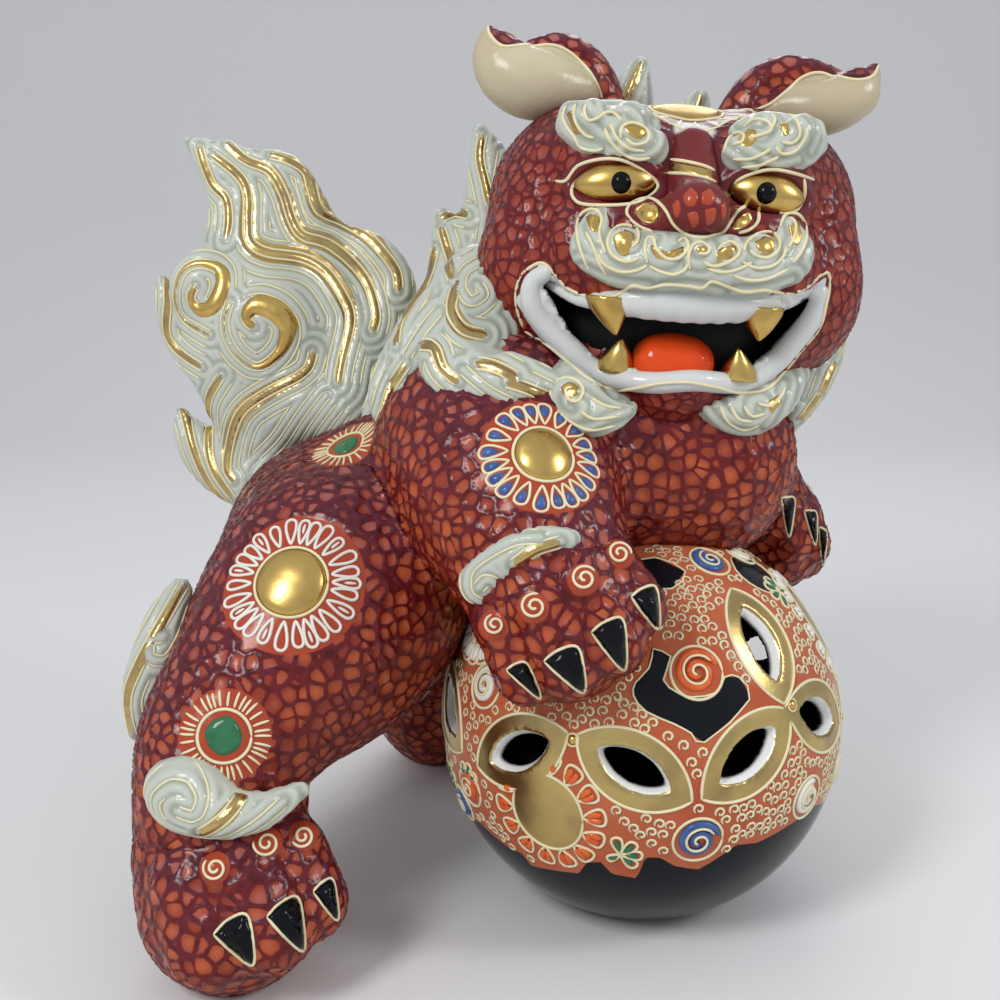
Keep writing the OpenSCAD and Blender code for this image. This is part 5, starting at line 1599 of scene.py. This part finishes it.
ball_enamels = glaze("ball_enamels", (0.47, 0.13, 0.058), (0.38, 0.068, 0.03), 0.16, 0.8, 45)
t, shader = core(ball_enamels)
gilt, cut = inside_mark(t, "gold", 0.15), remap(t, mark_of(t, "wall"), 0.5, 0.9, smooth=True)
brushed = blend(t, (0.54, 0.40, 0.15), (0.36, 0.25, 0.11), remap(t, noise(t, 70), 0.4, 0.7))
for color, share in (((0.006, 0.007, 0.010), inside_mark(t, "black", 0.15)), (brushed, gilt),
                     ((0.80, 0.80, 0.78), cut),
                     # painted shade: the inside of the shell, more than 2.6 mm in from the outside, is painted near
                     # black
                     ((0.012, 0.013, 0.016), remap(t, mark_of(t, "wall"), 2.6, 4.2, smooth=True))):
    paint_over(ball_enamels, color, share)
shader["Specular IOR Level"].default_value = 0.14
metal = calc(t, "MULTIPLY", gilt, calc(t, "SUBTRACT", 1.0, cut))
feed(t, shader["Metallic"], metal)
feed(t, shader["Roughness"], remap(t, metal, 0, 1, 0.12, 0.3))
place("ball_shell", ball_me, ball_enamels, ("ball_upper", "ball_lower"), "ball_ground")

ball_slip = Slip()
enamel = {"orange": Slip(), "blue": Slip(), "white": Slip(), "green": Slip()}


def on_lion(p):
    return body.at(np.atleast_2d(p))[0] < 0.6


def draw(into, surface, line, r, n=4, lift=0.1, close=False, hide=None):
    """A trail on the ball that stops at the lion, at a window and where `hide` says."""
    run = []
    for u, v in smooth_line(list(line) + [line[0]] if close else line, n):
        q, w = surface(u, v)
        if on_lion(q) or (hide is not None and hide(q)):
            if len(run) > 2:
                into.trail(run, r)
            run = []
        else:
            run.append(q + w * lift)
    if len(run) > 2:
        into.trail(run, r)


def gold_except(skip):
    def test(q):
        e = (q - np.array(BALL)) / BALL_R
        for k, (lon, lat, spin) in enumerate(windows):
            o, a, b = on_ball(lon, lat, spin).axes
            if k != skip and e @ o > 0.3 and leaf(e @ a * BALL_R, e @ b * BALL_R, 40, 22) < -0.5:
                return True
        for k, (lon, lat, spin, ru, rv) in enumerate(discs):
            o, a, b = on_ball(lon, lat, spin).axes
            if k + 100 != skip and e @ o > 0.3 and math.hypot(e @ a * BALL_R / ru, e @ b * BALL_R / rv) < 0.95:
                return True
        return False
    return test


def leaf_line(long, wide, n=14):
    r = (long ** 2 + wide ** 2) / (4 * wide)
    h = math.asin(long / 2 / r)
    top = [(r * math.sin(a), r * math.cos(a) - r + wide / 2) for a in np.linspace(-h, h, n)]
    return top, [(a, -b) for a, b in top]


for k, (lon, lat, spin) in enumerate(windows):
    on = on_ball(lon, lat, spin)
    for line in leaf_line(40.6, 22.6):
        draw(ball_slip, on, line, 0.5, 3, hide=gold_except(k))
for k, (lon, lat, spin, ru, rv) in enumerate(discs):
    on = on_ball(lon, lat, spin)
    draw(ball_slip, on,
         [(math.cos(a) * (ru + 0.3), math.sin(a) * (rv + 0.3)) for a in np.arange(26) / 26 * 2 * math.pi], 0.5, 2,
         close=True,
         hide=gold_except(k + 100))
    count = 14 if k == 0 else 17
    for j in range(count):
        a = j / count * 2 * math.pi + 0.1
        root = ((ru + 0.4) * math.cos(a), (rv + 0.4) * math.sin(a))
        fat = [(x, y * 1.45) for x, y in petal]
        draw(ball_slip, on, turn2(fat, a, 7.4, root), 0.48, 3, close=True, hide=gold_except(k + 100))
        for c in (-0.1, 0.1):
            draw(enamel["orange" if k == 0 else "white"], on,
                 turn2([(0.2, c * 0.7), (0.55, c * 1.4), (0.82, c)], a, 7.4, root), 1.15, 3,
                 hide=gold_except(k + 100))
for kind, lon, lat, a0, r in swirls:
    on = on_ball(lon, lat)
    draw(enamel[kind], on, swirl(r - 0.9, 1.8, 30, a0), 1.15, 2, 0.0, hide=gold_except(-1))
    draw(ball_slip, on, swirl(r - 2.2, 1.6, 26, a0 + 0.3), 0.42, 2, 1.0, hide=gold_except(-1))
    draw(ball_slip, on, ring_of(r + 0.5, 20), 0.48, 2, close=True, hide=gold_except(-1))
for lon, lat, a0 in sprays:
    on = on_ball(lon, lat)
    for j, a in enumerate((-0.9, -0.1, 0.7, 1.7, 3.6)):
        shape = turn2([(x, y * 0.95) for x, y in petal], a0 + a, 6.4 if j < 4 else 4.5)
        draw(ball_slip, on, shape, 0.45, 3, close=True, hide=gold_except(-1))
        draw(enamel["green"], on, turn2([(0.25, 0), (0.82, 0)], a0 + a, 6.4 if j < 4 else 4.5), 0.9, 4,
             hide=gold_except(-1))
rivets = [(-23.7, 13.6), (40, 19.4), (75, 5), (108, 14), (146, 5), (186, 14), (225, 5), (263, 14)]
studs_gold = Patches()
for lon, lat in rivets:
    on = on_ball(lon, lat)
    pad(studs_gold, on, ring_of(1.5, 14), 0.9, 4)
    draw(ball_slip, on, ring_of(1.9, 12), 0.32, 2, close=True)
for (lon, lat), outline in islands.items():
    draw(ball_slip, on_ball(lon, lat), outline, 0.3, 2, close=True, hide=gold_except(-1))
place("ball_slip", ball_slip.mesh("ball_slip"), slip_glaze, (), "ball_ground")
place("ball_rivets", studs_gold.mesh("ball_rivets"), gold_lustre, (), "ball_ground")
for kind, made in enamel.items():
    mat = {"orange": orange_enamel, "blue": blue_enamel, "white": white_slip, "green": green_enamel}[kind]
    place("ball_" + kind, made.mesh("ball_" + kind), mat, (), "ball_ground")


def curl_nodes():
    """Small trailed curls, strewn over the free ground and laid flat on it."""
    g, given, out = group_of("strewn_curls", "GeometryNodeTree",
                             (("Geometry", "Geometry", None), ("Spacing", "Float", 0.0029),
                              ("Curl size", "Float", 1.2),
                              ("Curl", "Object", None), ("Slip", "Material", None)), (("Geometry", "Geometry"),))
    free = add(g, "GeometryNodeInputNamedAttribute", {"Name": "free"}, data_type="FLOAT").outputs["Attribute"]
    ground = add(g, "FunctionNodeCompare", {"A": free, "B": 0.0}, data_type="FLOAT", operation="GREATER_THAN")
    spots = add(g, "GeometryNodeDistributePointsOnFaces",
                {"Mesh": given["Geometry"], "Selection": ground.outputs["Result"], "Distance Min": given["Spacing"],
                 "Density Max": 400000, "Seed": 7}, distribute_method="POISSON").outputs
    curl = add(g, "GeometryNodeObjectInfo", {"Object": given["Curl"]})
    laid = add(g, "GeometryNodeInstanceOnPoints",
               {"Points": spots["Points"], "Instance": curl.outputs["Geometry"], "Rotation": spots["Rotation"],
                "Scale": given["Curl size"]})
    spin = add(g, "FunctionNodeRandomValue", {"Min": (0, 0, -0.7), "Max": (0, 0, 0.5), "Seed": 3},
               data_type="FLOAT_VECTOR")
    spun = add(g, "GeometryNodeRotateInstances", {"Instances": laid.outputs["Instances"],
                                                  "Rotation": spin.outputs["Value"]})
    real = add(g, "GeometryNodeRealizeInstances", {"Geometry": spun.outputs["Instances"]})
    glazed = add(g, "GeometryNodeSetMaterial", {"Geometry": real.outputs["Geometry"], "Material": given["Slip"]})
    feed(g, out["Geometry"], glazed.outputs["Geometry"])
    return g


one = Slip()
arc = zip(np.radians((-145, -105, -65, -25, 15, 55, 95, 135, 180, 235)), (1.1, 1, 1, 1, 1, 1, 0.95, 0.85, 0.6, 0.35))
shape = [(1.15 * k * math.cos(a), 1.15 * k * math.sin(a)) for a, k in arc]
one.trail([np.array([v, u, 0]) + CENTRE for u, v in shape], 0.37, 3)
curl = bpy.data.objects.new("one_curl", one.mesh("one_curl"))
scene.collection.objects.link(curl)
tree = curl_nodes()
ids = {i.name: i.identifier for i in tree.interface.items_tree if i.in_out == "INPUT"}
ob = bpy.data.objects.new("strewing", ball_me.copy())
scene.collection.objects.link(ob)
mod = ob.modifiers.new("strewing", "NODES")
mod.node_group = tree
mod[ids["Curl"]], mod[ids["Slip"]] = curl, slip_glaze
bpy.context.view_layer.update()
curls = bpy.data.meshes.new_from_object(ob.evaluated_get(bpy.context.evaluated_depsgraph_get()))
curls.name = "ball_curls"
bpy.data.objects.remove(ob)
bpy.data.objects.remove(curl)
place("ball_curls", curls, slip_glaze, (), "ball_ground")
